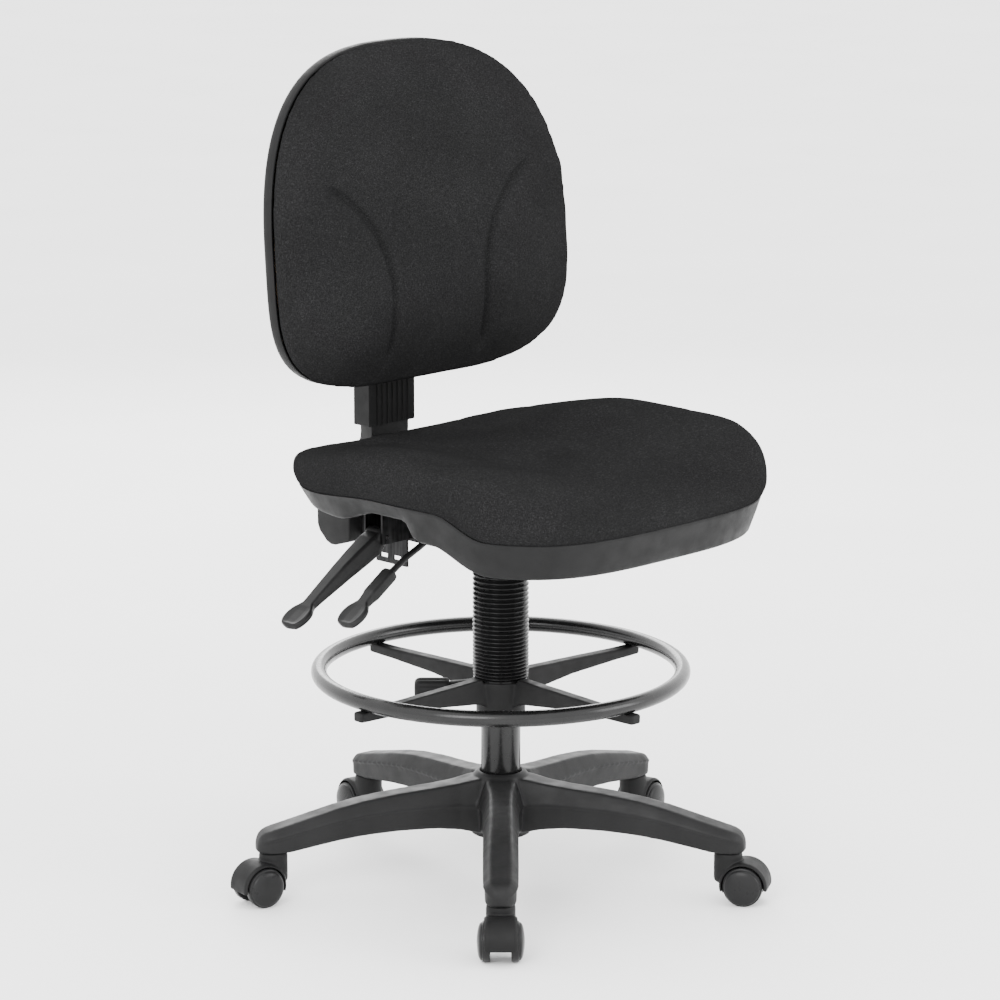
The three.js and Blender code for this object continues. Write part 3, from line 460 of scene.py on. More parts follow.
def ply_wood():
    """Bare moulded plywood with long grain and thin pores."""
    shader = Shader("ply_wood", 0.72, specular=0.3)
    grain = shader.noise(60, 6.0, (1, 9, 9), 0.62)
    pores = shader.noise(420, 2.0, (0.6, 6, 6))
    tone = shader.mix(grain, 0.7, pores, 0.3)
    shader.colours(tone, [(0.35, (0.24, 0.14, 0.07)), (0.65, (0.47, 0.33, 0.19))])
    shader.bump(pores, 0.0003, 0.5)
    return shader.material


FABRIC = woven_fabric()
BASE_PLASTIC = moulded_plastic("base_plastic", 0.007, 0.0125, 0.46, 0.00018, 700)
SHELL_PLASTIC = moulded_plastic("shell_plastic", 0.005, 0.008, 0.54, 0.00014, 800)
LEVER_PLASTIC = moulded_plastic("lever_plastic", 0.005, 0.012, 0.36, 0.00016, 600)
WHEEL_PLASTIC = moulded_plastic("wheel_plastic", 0.009, 0.013, 0.30, 0.00008, 900)
BELLOWS_PLASTIC = moulded_plastic("bellows_plastic", 0.003, 0.006, 0.12, 0.00004, 500)
BLACK_STEEL = coated_steel("black_steel", 0.003, 0.005, 0.24, 0.16)
MATT_STEEL = coated_steel("matt_steel", 0.0025, 0.005, 0.5, 0.05)
ZINC = zinc_plate("zinc_plate", 0.05, 0.12, 0.42)
SPRING = zinc_plate("spring_wire", 0.04, 0.08, 0.42)
BRACKET_STEEL = zinc_plate("bracket_steel", 0.006, 0.03, 0.46)
PLYWOOD = ply_wood()

# ---- base

ARM_COUNT = 5
ARM_STEP = 360 / ARM_COUNT
FIRST_ARM = 225  # degrees from +X
CIRCLE = 299  # radius of the circle of caster stems
COLUMN_ROOM = 25.6  # radius of the bores round the column
STEM_ROOM = 5.8  # radius of the holes for the casters' stems
ARM_STATIONS = [  # distance, top, underside, half width
    (6, (140, 66, 31)),
    (38, (138, 70, 29)),
    (60, (134, 75, 24.5)),
    (90, (131, 79, 23)),
    (140, (127.5, 80.5, 22.6)),
    (186, (122, 79, 22.5)),
    (220, (115.5, 75.5, 22.5)),
    (250, (108, 71, 22.5)),
    (278, (101, 66.5, 22.3)),
    (292, (97.6, 65.5, 22)),
    (299, (96, 65.5, 22)),
    (306, (94, 65.5, 21)),
    (311.5, (91.8, 65.5, 18.4)),
    (316, (88.4, 65.8, 14.4)),
    (319, (84, 66.4, 10)),
    (320.8, (78, 68, 5.4)),
]
POCKETS = ((64, 118, 100), (121, 176, 100), (179, 250, 92))  # start and end along an arm, roof
POCKET_HALF = 14.5
HUB_RADIUS = 34
HUB_LOW = corners("base_star")[0].z
HUB_HIGH = 144


def arm_section(r, top, low, half):
    """Cross-section of an arm: a flat top, wide chamfers, then nearly upright sides."""
    height = top - low
    chamfer = lerp(0.44, 0.30, clamp((r - 40) / 240))
    right = [
        (0.50, 0), (0.60, 0.012), (0.80, 0.48 * chamfer), (0.97, 0.93 * chamfer), (1.0, chamfer),
        (0.99, chamfer + 0.035), (0.90, chamfer + 0.07), (0.88, 0.75), (0.87, 0.96), (0.80, 1.0),
    ]
    side = [(half * across, top - height * down) for across, down in right]
    ring = side + [(-y, z) for y, z in reversed(side)]
    return [(r, y, z) for y, z in ring]


def star_base():
    """The five-arm base, moulded in one, with hollow ribbed arms."""
    arm = loft([arm_section(r, *sizes) for r, sizes in ARM_STATIONS])
    hub = lathe([
        (0, HUB_LOW), (HUB_RADIUS + 4, HUB_LOW), (HUB_RADIUS + 4, HUB_LOW + 24),
        (HUB_RADIUS + 1, HUB_HIGH - 9), (HUB_RADIUS - 1, HUB_HIGH - 3), (HUB_RADIUS - 5, HUB_HIGH),
        (0, HUB_HIGH),
    ], 60)
    turns = [rotation(FIRST_ARM + ARM_STEP * k) for k in range(ARM_COUNT)]
    star = fuse(solid("star_base", [hub] + [moved(arm, turn) for turn in turns]), 1.8, 5)
    mouth_low, mouth_high = HUB_HIGH - 2.2, HUB_HIGH + 2
    tools = [
        solid("bore_tool", rod(COLUMN_ROOM, 40, HUB_HIGH + 9, 64)),
        solid("bore_mouth", lathe([
            (0, mouth_low), (25.4, mouth_low), (29.5, mouth_high), (0, mouth_high),
        ], 64)),
    ]
    for turn in turns:
        for start, end, roof in POCKETS:
            pocket = block((start, end), (-POCKET_HALF, POCKET_HALF), (40, roof))
            tools.append(solid("pocket_tool", moved(pocket, turn)))
        socket = moved(rod(STEM_ROOM, 50, 89.5), turn @ shift(CIRCLE, 0, 0))
        tools.append(solid("socket_tool", socket))
    carve(star, tools)
    settle(star, "base", "base_plastic", BASE_PLASTIC, "base_star")


# ---- casters

TRAIL = 22  # from the stem to the axle
WHEEL = 25
HOOD = 30.5
AXLE_ROOM = 3.3


def arc(radius, start, end, steps):
    """Points on a circle about the origin from one angle to another."""
    angles = [math.radians(lerp(start, end, k / steps)) for k in range(steps + 1)]
    return [(radius * math.cos(a), radius * math.sin(a)) for a in angles]


def about_axle(profile, start, end, steps):
    """A part turned about the axle from one angle to another. The profile holds [radius, y] pairs."""
    return loft([
        [(TRAIL + r * x, y, WHEEL + r * z) for r, y in profile] for x, z in arc(1, start, end, steps)
    ])


def along_axle(y, side):
    """Where a part about Z goes to point outwards along the axle from y. side is 1 or -1."""
    return shift(TRAIL, y, WHEEL) @ rotation(-90 * side, "X")


def mesh_of(obj):
    """Takes an object's mesh back to millimetres and drops the object."""
    mesh = obj.data
    mesh.transform(TO_FRAME.inverted())
    bpy.data.objects.remove(obj)
    return mesh


def caster_hood_mesh():
    """The hood over the twin wheels with its neck and the web between the wheels."""
    cover = about_axle([
        (26.6, -20.2), (28.2, -20.4), (29.2, -19), (HOOD, -17),
        (HOOD, 17), (29.2, 19), (28.2, 20.4), (26.6, 20.2),
    ], -8, 196, 44)
    web = about_axle([(2, -10.6), (HOOD - 0.8, -10.6), (HOOD - 0.8, 10.6), (2, 10.6)], -8, 205, 44)
    boss = about_axle([(0.1, -11.4), (8, -11.4), (8, 11.4), (0.1, 11.4)], 0, 350, 30)
    neck = lathe([(0, 40), (17.5, 40), (18, 44), (18, 60), (17.4, 63.4), (16, 65.2), (0, 65.2)], 48)
    wall = lathe([(0, 26), (15, 26), (17.3, 28), (18, 31), (18, 60), (0, 60)], 48)
    hood = fuse(solid("caster_hood_form", [cover, web, boss, neck, wall]), 1.0, 3)
    room = rod(27.2, 0, 50, 64)
    rooms = [solid("room", moved(room, along_axle(side * 11.2, side))) for side in (-1, 1)]
    rooms.append(solid("axle_hole", moved(rod(AXLE_ROOM, -40, 40), along_axle(0, -1))))
    rooms.append(solid("stem_hole", rod(STEM_ROOM, 54, 80)))
    return mesh_of(carve(hood, rooms))


def caster_wheel_mesh(side):
    """A wheel about the axle: a tread, a step and a domed face with a shallow rim."""
    profile = [
        (AXLE_ROOM, 12.6), (9, 12.6), (10, 14), (19, 14), (20, 12.6), (WHEEL - 1.6, 12.6),
        (WHEEL - 0.4, 13.1), (WHEEL, 14.4), (WHEEL, 20.4), (WHEEL - 0.5, 21.6), (WHEEL - 1.5, 22),
        (WHEEL - 2.0, 22.3), (WHEEL - 2.1, 23.2), (WHEEL - 2.8, 24.5), (WHEEL - 4.5, 25.7),
        (WHEEL - 8, 27), (WHEEL - 13, 28), (WHEEL - 19, 28.7), (0, 29), (0, 24), (AXLE_ROOM, 24),
        (AXLE_ROOM, 12.6),
    ]
    return mesh_of(solid("wheel_form", moved(lathe(profile, 72), along_axle(0, side)), 28))


def copy_of(mesh, name, place):
    obj = placed(name, mesh.copy())
    obj.data.transform(TO_FRAME @ place)
    return obj


def middle_of(node):
    """Middle of a CAD node's box, in millimetres from the lift's axis."""
    low, high = corners(node)
    return (low + high) / 2


def caster_place(number):
    """Where a caster stands: its stem, and the way its axle trails."""
    stem = middle_of(f"caster_stem_{number}")
    axle = middle_of(f"caster_axle_{number}") - stem
    return shift(stem.x, stem.y, 0) @ Matrix.Rotation(math.atan2(axle.y, axle.x), 4, "Z")


def casters():
    """Each caster's hood and its two wheels."""
    hood = caster_hood_mesh()
    wheels = {"left": caster_wheel_mesh(1), "right": caster_wheel_mesh(-1)}
    for number in range(1, ARM_COUNT + 1):
        place = caster_place(number)
        cover = copy_of(hood, f"hood_{number}", place)
        settle(cover, f"caster_{number}", "satin_plastic", SHELL_PLASTIC, f"caster_hood_{number}")
        for side, mesh in wheels.items():
            name = f"wheel_{side}_{number}"
            settle(copy_of(mesh, name, place), name, "wheel_plastic", WHEEL_PLASTIC, f"caster_{name}")


# ---- gas lift and bellows


def outer_tube():
    """The lift's outer tube with its rounded rim, hollow above its foot."""
    low, top = TUBE_LOW.z / MM, TUBE_HIGH.z / MM
    outer, inner = 25, 14.3
    floor = 67.7
    tube = solid("column_tube", lathe([
        (inner, floor + 0.3), (inner, top), (outer - 3, top), (outer - 1, top - 0.6), (outer, top - 2.5),
        (outer, low + 1.5), (outer - 1, low), (0, low), (0, floor), (inner, floor), (inner, floor + 0.3),
    ], 72))
    settle(tube, "base", "black_steel", BLACK_STEEL, "lift_outer_tube")


def dust_bellows():
    """The corrugated sleeve over the lift: it stands on the footring's hub."""
    low, high = [corner.z for corner in corners("dust_bellows")]
    inner, valley, crest = 31.2, 32.6, 35.5
    folds = 29
    outside = [(inner, low), (34.2, low), (34.6, low + 2)]
    height = low + 3
    pitches = [lerp(4.0, 6.6, k / (folds - 1)) for k in range(folds)]
    scale = (high - 3 - height) / sum(pitches)
    for pitch in pitches:
        step = pitch * scale
        outside += [
            (valley, height), (33.2, height + 0.14 * step), (crest - 0.5, height + 0.3 * step),
            (crest, height + 0.42 * step), (crest - 0.1, height + 0.55 * step),
            (crest - 0.8, height + 0.7 * step), (33.2, height + 0.86 * step),
        ]
        height += step
    outside += [(valley, height), (34.4, high - 2), (34.2, high), (inner, high), (inner, low)]
    sleeve = solid("bellows_sleeve", lathe(outside, 72), 60)
    paint(sleeve, BELLOWS_PLASTIC)
    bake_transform(sleeve)
    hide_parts("dust_bellows")


# ---- footring

RING_RADIUS = 229
RING_HEIGHT = 275
RING_TUBE = 10
SPOKE_ANGLE = -1.6
SPOKE_COUNT = 4
SCREW_RECESS = 4.3
KNOB_ANGLE = 135
KNOB_HEIGHT = 249
ALONG_KNOB = rotation(KNOB_ANGLE) @ shift(0, 0, KNOB_HEIGHT) @ rotation(90, "Y")


def spoke_turns():
    return [rotation(SPOKE_ANGLE + 360 / SPOKE_COUNT * k) for k in range(SPOKE_COUNT)]


def footring_tube():
    """The ring itself, a round steel tube."""
    section = [(RING_RADIUS + out, RING_HEIGHT + up) for out, up in arc(RING_TUBE, 0, 342, 19)]
    sections = [[(r * x, r * y, z) for r, z in section] for x, y in round_points(144)]
    ring = solid("footring_tube", ring_sweep(sections), 180)
    settle(ring, "footring", "black_steel", BLACK_STEEL, "footring_ring")


def spoke_section(r, top, rise, depth, half):
    """Cross-section of a spoke: a deep bar with rounded top edges."""
    low = top - depth
    top += rise
    depth = top - low
    right = [
        (half - 2, top), (half - 0.6, top - 0.6), (half, top - 2),
        (half - 0.4, top - depth + 1), (half - 1.2, top - depth),
    ]
    ring = right + [(-y, z) for y, z in reversed(right)]
    return [(r, y, z) for y, z in ring]


def footring_spider():
    """Hub and four tapering spokes, moulded in one, with the clamp's boss."""
    top = RING_HEIGHT - RING_TUBE - 0.3
    low = corners("footring_hub")[0].z
    stations = [  # distance, rise over the hub, depth, half width
        (20, 0, 34, 9), (31, 0, 32.5, 8.8), (36.9, 0, 29.5, 8.6), (38, 4.6, 28.4, 8.5), (44, 4.9, 26.4, 8.2),
        (120, 2.8, 17, 8), (200, 0.2, 13.2, 8), (222, 0, 12.6, 8), (237, 0, 12.4, 8), (240, -0.4, 12, 7.6),
        (241, -1.4, 11, 6.6),
    ]
    spoke = loft([spoke_section(r, top, rise, depth, half) for r, rise, depth, half in stations])
    hub = lathe([
        (0, low), (29.6, low), (30.6, low + 1), (31, low + 3), (31, top - 36), (32.4, top - 24),
        (35.2, top - 8), (35.5, top - 5), (35.5, top - 1), (34.8, top), (0, top),
    ], 64)
    boss = moved(lathe([(0, 20), (13.5, 20), (13.5, 38), (11, 63), (10, 65.5), (0, 65.5)], 40), ALONG_KNOB)
    turns = spoke_turns()
    spider = fuse(solid("footring_spider", [hub, boss] + [moved(spoke, turn) for turn in turns]), 1.3, 4)
    tools = [solid("bore", rod(COLUMN_ROOM, 150, 300, 64))]
    tools.append(solid("stem_room", moved(rod(4.5, 0, 90), ALONG_KNOB)))
    for number, turn in enumerate(turns, 1):
        ledge = corners(f"footring_screw_{number}")[0].z + SCREW_RECESS
        room = lathe([(0, 200), (5.6, 200), (5.6, ledge), (2.9, ledge), (2.9, 290), (0, 290)], 28)
        tools.append(solid("screw_room", moved(room, turn @ shift(RING_RADIUS, 0, 0))))
    carve(spider, tools)
    settle(spider, "footring", "satin_plastic", SHELL_PLASTIC, "footring_hub")


def clamp_knob():
    """The footring's clamp knob: a fluted grip with a rounded end on a steel stem."""
    rings = []
    stations = [
        (64.8, 12.0), (66, 13.6), (67.5, 14.6), (70, 15), (101, 15),
        (105, 14.2), (107.5, 12.2), (108.7, 9.4), (109, 5),
    ]
    count, flutes, flute_depth = 72, 9, 0.9
    for height, radius in stations:
        flute = flute_depth * ease(height, 66, 70) * (1 - ease(height, 102, 108))
        ring = []
        for k in range(count):
            angle = 2 * math.pi * k / count
            r = radius - flute * (0.5 + 0.5 * math.cos(flutes * angle)) ** 2
            ring.append((r * math.cos(angle), r * math.sin(angle), height))
        rings.append(ring)
    stem = lathe([(0, 25.4), (3.2, 25.4), (4, 26.4), (4, 66), (0, 66)], 28)
    knob = solid("clamp_knob", [moved(loft(rings), ALONG_KNOB), moved(stem, ALONG_KNOB)])
    settle(knob, "footring_knob", "satin_plastic", SHELL_PLASTIC, "footring_knob")


# ---- levers

ANGLE_LEVER_Y = 105
ANGLE_LEVER_ROOT = (-112, 450)
ROD_HEIGHT = 472.3

def lever_ring(x, z, tangent, half, up, down, dish):
    """One station of a lever: a rounded section, flat or dished on top."""
    shape = [
        (0.0, up - dish), (0.35, up - dish), (0.62, up - 0.55 * dish), (0.84, up), (0.97, up * 0.7),
        (1.0, 0.1 * up), (0.98, -0.45 * down), (0.86, -0.9 * down), (0.6, -down), (0.0, -down),
    ]
    side = [(half * across, height) for across, height in shape]
    ring = side + [(-y, h) for y, h in reversed(side[1:-1])]
    return [(x + tangent.y * h, y, z - tangent.x * h) for y, h in ring]


def lever(stations, y):
    """A lever in a plane of constant Y from (x, z, half width, up, down, dish) stations."""
    rings = []
    for (x, z, *section), tangent in zip(stations, tangents(stations)):
        rings.append([(px, py + y, pz) for px, py, pz in lever_ring(x, z, tangent, *section)])
    return loft(rings)


def paddle_stations(root, tip, head, width, thickness, neck):
    """Stations from a lever's root to the end of its oval paddle. neck gives (share, half, up, down)."""
    reach = math.hypot(tip[0] - root[0], tip[1] - root[1])
    stations = []
    for share, half, up, down in neck:
        distance = share * (reach - head)
        stations.append((distance, half, up, down, 0.0))
    last = 11
    for k in range(1, last + 1):
        share = k / last
        oval = math.sqrt(max(0.0, 1 - (1 - 2 * share) ** 2))
        start = neck[-1][1]
        half = max(width / 2 * oval ** 0.7, start if share < 0.5 else 3)
        flat = thickness / 2 * (1 if k < last else 0.45)
        dish = 1.6 * ease(share, 0.08, 0.25) * (1 - ease(share, 0.78, 0.94))
        stations.append((reach - head * (1 - share), half, flat, flat, dish))
    made = []
    for distance, half, up, down, dish in stations:
        t = distance / reach
        made.append((lerp(root[0], tip[0], t), lerp(root[1], tip[1], t), half, up, down, dish))
    return made


def angle_lever():
    """The lever that frees the back's angle: a deep tapered arm with a dished oval paddle."""
    neck = [
        (0.0, 12.5, 9, 12), (0.12, 13, 11.5, 17), (0.3, 12, 11.5, 15), (0.5, 10.6, 10.5, 12),
        (0.7, 9.6, 8.6, 9.5), (0.88, 9, 6.4, 7), (0.98, 9, 5, 6),
    ]
    arm = lever(paddle_stations(ANGLE_LEVER_ROOT, (-266, 359), 40, 39, 9.4, neck), ANGLE_LEVER_Y)
    x, z = ANGLE_LEVER_ROOT
    pivot = shift(x, ANGLE_LEVER_Y, z) @ rotation(90, "X")
    hub = moved(chamfered_rod(11, 13.4, 1, 48), pivot)
    stub = moved(chamfered_rod(3, 18, 0.6, 32), pivot)
    obj = fuse(solid("angle_lever_arm", [arm, hub, stub]), 0.9, 3)
    settle(obj, "angle_lever", "satin_plastic", LEVER_PLASTIC, "angle_lever")


def height_lever():
    """The lever that works the lift: a bent steel rod with a moulded grip on its end."""
    points = [
        (4, ROD_HEIGHT), (-60, ROD_HEIGHT), (-96, ROD_HEIGHT), (-106, 471.4), (-116, 468.6), (-126, 464.5),
        (-142, 457), (-165, 447.5), (-190, 433), (-211, 418.6),
    ]
    radius = 4
    section = [(radius * across, radius * up) for across, up in round_points(20)]
    rings = []
    for (x, z), tangent in zip(points, tangents(points)):
        rings.append([(x + tangent.y * up, across, z - tangent.x * up) for across, up in section])
    pin = moved(rod(3, -15, 15), shift(-40, 0, ROD_HEIGHT) @ rotation(90, "X"))
    steel = solid("height_lever_steel", [loft(rings), pin])
    settle(steel, "height_lever", "zinc_steel", MATT_STEEL, "height_lever_rod")
    neck = [
        (0.0, 8, 6.6, 6.6), (0.08, 9.2, 7.6, 7.6), (0.7, 9.2, 7.6, 7.6), (0.8, 8.4, 6.4, 6.4),
        (0.97, 8.4, 5, 5),
    ]
    handle = lever(paddle_stations((-189, 433.7), (-269, 380), 39, 38, 9, neck), 0)
    grip = fuse(solid("height_lever_handle", handle), 0.9, 3)
    settle(grip, "height_lever", "satin_plastic", LEVER_PLASTIC, "height_lever_grip")


# ---- seat

SHELL_LOW, SHELL_HIGH = corners("seat_shell")
SEAT_HALF = (SHELL_HIGH.x - SHELL_LOW.x) / 2
SEAT_FRONT, SEAT_BACK = SHELL_LOW.y, SHELL_HIGH.y
SEAT_MIDDLE = (SEAT_FRONT + SEAT_BACK) / 2
SEAT_HALF_DEPTH = (SEAT_BACK - SEAT_FRONT) / 2
SEAT_FRONT_POWER, SEAT_REAR_POWER = 3.4, 3.9
OUTLINE_POINTS = 144
BOARD_LOW, BOARD_TOP = [corner.z for corner in corners("seat_board")]
GAP = 0.3  # between a cushion and what it rests on
DRAFT = 12  # how far the seat's pan narrows to its floor


def seat_point(t):
    """A point on the seat's plan, a rounded square of half width 1."""
    angle = t * 2 * math.pi
    power = 2 / (SEAT_FRONT_POWER if math.sin(angle) < 0 else SEAT_REAR_POWER)
    return signed_power(math.cos(angle), power), signed_power(math.sin(angle), power)


SEAT_OUTLINE = even_outline(seat_point, OUTLINE_POINTS)


def seat_seam(y):
    """Height of the line where the cushion meets the shell."""
    front = SEAT_FRONT + 96
    at_front, rise, fall = 511, 25, 9
    return at_front + rise * ease(y, front, front + 75) - fall * ease(y, -30, 110)


def shell_floor(y):
    """Height of the shell's underside: deep in front, arched at the sides, lower again behind."""
    front = SEAT_FRONT + 106
    at_front, rise, arch, fall = 465, 27, 23, 17
    raised = at_front + rise * ease(y, front, front + 85) + arch * ease(y, front + 106, front + 130)
    return raised - fall * ease(y, -10, 55)


def seat_ring(grow, share, height):
    """The seat's outline, grown and then scaled, at a height that depends on the place."""
    ring = []
    for u, v in SEAT_OUTLINE:
        x = u * (SEAT_HALF + grow) * share
        y = SEAT_MIDDLE + v * (SEAT_HALF_DEPTH + grow) * share
        ring.append((x, y, height(y, x)))
    return ring


def seat_shell():
    """The pan under the cushion, with its turned-in lip and bolt bosses."""
    raised = lambda up: lambda y, x: shell_floor(y) + up
    between = lambda share: lambda y, x: lerp(shell_floor(y) + 5, seat_seam(y), share)
    shares = (0.15, 0.3, 0.5, 0.7, 0.85)
    rings = [seat_ring(-DRAFT, share, raised(0)) for share in shares]
    rings += [seat_ring(grow, 1, height) for grow, height in (
        (-DRAFT - 9, raised(0)), (-DRAFT - 5, raised(0.7)), (-DRAFT - 2, raised(2.4)), (-DRAFT, raised(5)),
        (-DRAFT * 0.68, between(0.3)), (-DRAFT * 0.34, between(0.62)), (-DRAFT * 0.08, between(0.9)),
        (0, between(0.975)), (-0.6, between(1.0)), (-2.2, between(1.0)), (-3, between(0.97)),
        (-DRAFT - 2, raised(7)), (-DRAFT - 12, raised(3)),
    )]
    rings += [seat_ring(-DRAFT, share, raised(3)) for share in reversed(shares)]
    shell = solid("seat_pan", loft(rings), 50)
    settle(shell, "seat_frame", "satin_plastic", SHELL_PLASTIC, "seat_shell")
    low = corners("mechanism_top_plate")[1].z + GAP
    high = BOARD_LOW - GAP
    boss = lathe([(3.4, low), (12, low), (11.4, high), (3.4, high), (3.4, low)], 32)
    for number in range(1, 5):
        bolt = middle_of(f"seat_bolt_{number}")
        piece = solid(f"seat_boss_{number}", moved(boss, shift(bolt.x, bolt.y, 0)))
        settle(piece, "seat_frame", "satin_plastic", SHELL_PLASTIC)


def cushion_top(y, x):
    """Height of the seat's upper side: bolsters along the sides, a hollow middle, a rolled front."""
    hollow, rise, fall, front_roll, bolster_height = 553, 13, 12, 22, 24
    middle = hollow + rise * ease(y, SEAT_FRONT, SEAT_FRONT + 150) - fall * ease(y, 0, SEAT_BACK)
    roll = front_roll * (1 - ease(y, SEAT_FRONT - 20, SEAT_FRONT + 70))
    fading = 1 - 0.64 * ease(y, SEAT_BACK - 210, SEAT_BACK - 10)
    lengthwise = ease(y, SEAT_FRONT - 20, SEAT_FRONT + 130) * fading
    bolster = bolster_height * lengthwise * ease(abs(x), 60, SEAT_HALF - 25)
    return middle - roll + bolster


def seat_cushion_form():
    """The cushion before it is stuffed, with its lower edge tucked inside the pan's rim."""
    seam = lambda y, x: seat_seam(y) + GAP
    under = lambda y, x: BOARD_TOP + GAP
    edge = lambda share: lambda y, x: lerp(seam(y, x), cushion_top(y, x), share)
    tuck = lambda down: lambda y, x: seam(y, x) - down
    rings = [seat_ring(0, share, under) for share in (0.1, 0.3, 0.5, 0.7, 0.86)]
    rings += [seat_ring(grow, 1, height) for grow, height in (
        (-16, tuck(1)), (-8, tuck(5)), (-3.6, tuck(3)), (-0.5, tuck(-0.5)), (3.4, edge(0.08)),
        (5.2, edge(0.22)), (6.2, edge(0.42)), (6.2, edge(0.62)), (5.4, edge(0.79)), (2.6, edge(0.91)),
        (-3, edge(0.975)), (-10, edge(1.0)), (-22, cushion_top),
    )]
    rings += [seat_ring(0, share, cushion_top) for share in (0.83, 0.76, 0.68, 0.6, 0.5, 0.4, 0.3, 0.2, 0.1)]
    return solid("seat_pad", loft(rings), 180)


# ---- cushions by cloth simulation


def puff(obj, cap, held):
    """Swells a cushion as stuffed cloth, by less than cap. held(point) is from 0, free, to 1, fixed."""
    fuse(obj, 5, 3)
    rest = [v.co.copy() for v in obj.data.vertices]
    group = obj.vertex_groups.new(name="held")
    for vertex in obj.data.vertices:
        group.add([vertex.index], held((vertex.co - AXIS) / MM), "REPLACE")
    cloth = obj.modifiers.new("cloth", "CLOTH")
    settings = cloth.settings
    settings.quality = 5
    settings.mass = 0.3
    settings.tension_stiffness = 18
    settings.compression_stiffness = 18
    settings.shear_stiffness = 8
    settings.bending_stiffness = 1.5
    settings.use_pressure = True
    settings.uniform_pressure_force = 4
    settings.effector_weights.gravity = 0
    settings.vertex_group_mass = "held"
    cloth.collision_settings.use_collision = False
    last_frame = 20
    cloth.point_cache.frame_start = 1
    cloth.point_cache.frame_end = last_frame
    scene = bpy.context.scene
    for number in range(1, last_frame + 1):
        scene.frame_set(number)
    shaped = obj.evaluated_get(bpy.context.evaluated_depsgraph_get())
    swollen = [v.co.copy() for v in shaped.data.vertices]
    obj.modifiers.clear()
    for vertex, start, end in zip(obj.data.vertices, rest, swollen):
        step = end - start
        length = step.length / MM
        vertex.co = start + step * (cap / (cap + length)) if length > 0 else start
    scene.frame_set(1)
    obj.vertex_groups.clear()
    finer = obj.modifiers.new("finer", "SUBSURF")
    finer.levels = 1
    bake(obj)


def reshape(obj, change):
    """Moves every vertex by change(point, normal), with the point and the move in millimetres."""
    mesh = obj.data
    steps = [change((v.co - AXIS) / MM, v.normal) for v in mesh.vertices]
    for vertex, step in zip(mesh.vertices, steps):
        vertex.co += Vector(step) * MM
    mesh.shade_smooth()
    mesh.update()


def edge_hollows(p, normal):
    """Soft hollows where the cover is pulled down along the cushion's edge."""
    above = p.z - seat_seam(p.y)
    wave = 0.6 + 0.4 * math.sin(p.x * 0.11) * math.sin(p.y * 0.09)
    return normal * (-1.6 * bell(above - 7, 5) * wave)


def seat_cushion():
    """The seat's cushion, stuffed, then pulled in along its edge."""
    pad = seat_cushion_form()
    puff(pad, 7, lambda p: 1.0 - 0.9 * ease(p.z - seat_seam(p.y), 4, 26))
    reshape(pad, edge_hollows)
    settle(pad, "seat_frame", "fabric", FABRIC, "seat_cushion")


# ---- back

BACK_LOW, BACK_HIGH = corners("back_shell")
BACK_HALF = (BACK_HIGH.x - BACK_LOW.x) / 2
BACK_TOP, BACK_BOTTOM = BACK_HIGH.z, BACK_LOW.z
BACK_MIDDLE = 795.5  # height where the outline is widest
BACK_REAR = 196.3
FLAT_SHARE = 0.56  # the part of the rear that is flat
RIM_HALF = 15
SHELL_WALL = 3
BACK_BOARD = 8


def back_point(t):
    """A point on the back's outline, seen from the front."""
    angle = t * 2 * math.pi
    upper = math.sin(angle) >= 0
    power = 2 / (2.56 if upper else 3.45)
    reach = BACK_TOP - BACK_MIDDLE if upper else BACK_MIDDLE - BACK_BOTTOM
    return BACK_HALF * signed_power(math.cos(angle), power), reach * signed_power(math.sin(angle), power)


BACK_OUTLINE = even_outline(back_point, OUTLINE_POINTS)


def rim_y(x, z):
    """Middle of the rim: it leans back with height, and its sides come forward."""
    height = (z - 800) / 200
    return 144 + 15.4 * height + 9 * height ** 2 + 17 * (1 - (x / BACK_HALF) ** 2)


def shell_rear(x, z, share):
    """The shell's rear: flat in the middle, then forward to the rim."""
    outward = max(share - FLAT_SHARE, 0) / (1 - FLAT_SHARE)
    return lerp(BACK_REAR, rim_y(x, z) + RIM_HALF, outward ** 1.4)


def cushion_front(x, z, share):
    """The cushion's front: a full crown and a lumbar swell low down."""
    crown = 34 * (1 - share ** 3.2)
    lumbar = 8 * bell(z - 720, 90) * (1 - share ** 2)  # widest at a height of 720
    return rim_y(x, z) - RIM_HALF - crown - lumbar


def back_ring(share, depth):
    """The back's outline, scaled about its middle, at a depth that depends on the place."""
    ring = []
    for u, v in BACK_OUTLINE:
        x, z = u * share, BACK_MIDDLE + v * share
        ring.append((x, depth(x, z, share), z))
    return ring


def back_shell():
    """The moulded shell behind the back cushion, with a rounded rim."""
    rear = lambda x, z, share: rim_y(x, z) + RIM_HALF
    back_by = lambda step: lambda x, z, share: rear(x, z, share) - step
    seam = lambda x, z, share: rim_y(x, z) - 3
    behind_seam = lambda x, z, share: seam(x, z, share) + 1.2
    inside = lambda x, z, share: shell_rear(x, z, share) - SHELL_WALL
    shares = (0.1, 0.25, 0.4, 0.5, 0.56, 0.64, 0.72, 0.8, 0.88, 0.94)
    rings = [back_ring(share, shell_rear) for share in shares]
    rings += [back_ring(share, depth) for share, depth in (
        (0.975, back_by(-0.2)), (0.988, back_by(1.2)), (0.997, back_by(3.6)), (1, back_by(7)),
        (1, behind_seam), (0.997, seam), (0.988, seam), (0.985, behind_seam), (0.972, back_by(5.5)),
    )]
    rings += [back_ring(share, inside) for share in reversed(shares)]
    shell = solid("back_pan", loft(rings), 60)
    settle(shell, "back", "satin_plastic", SHELL_PLASTIC, "back_shell")


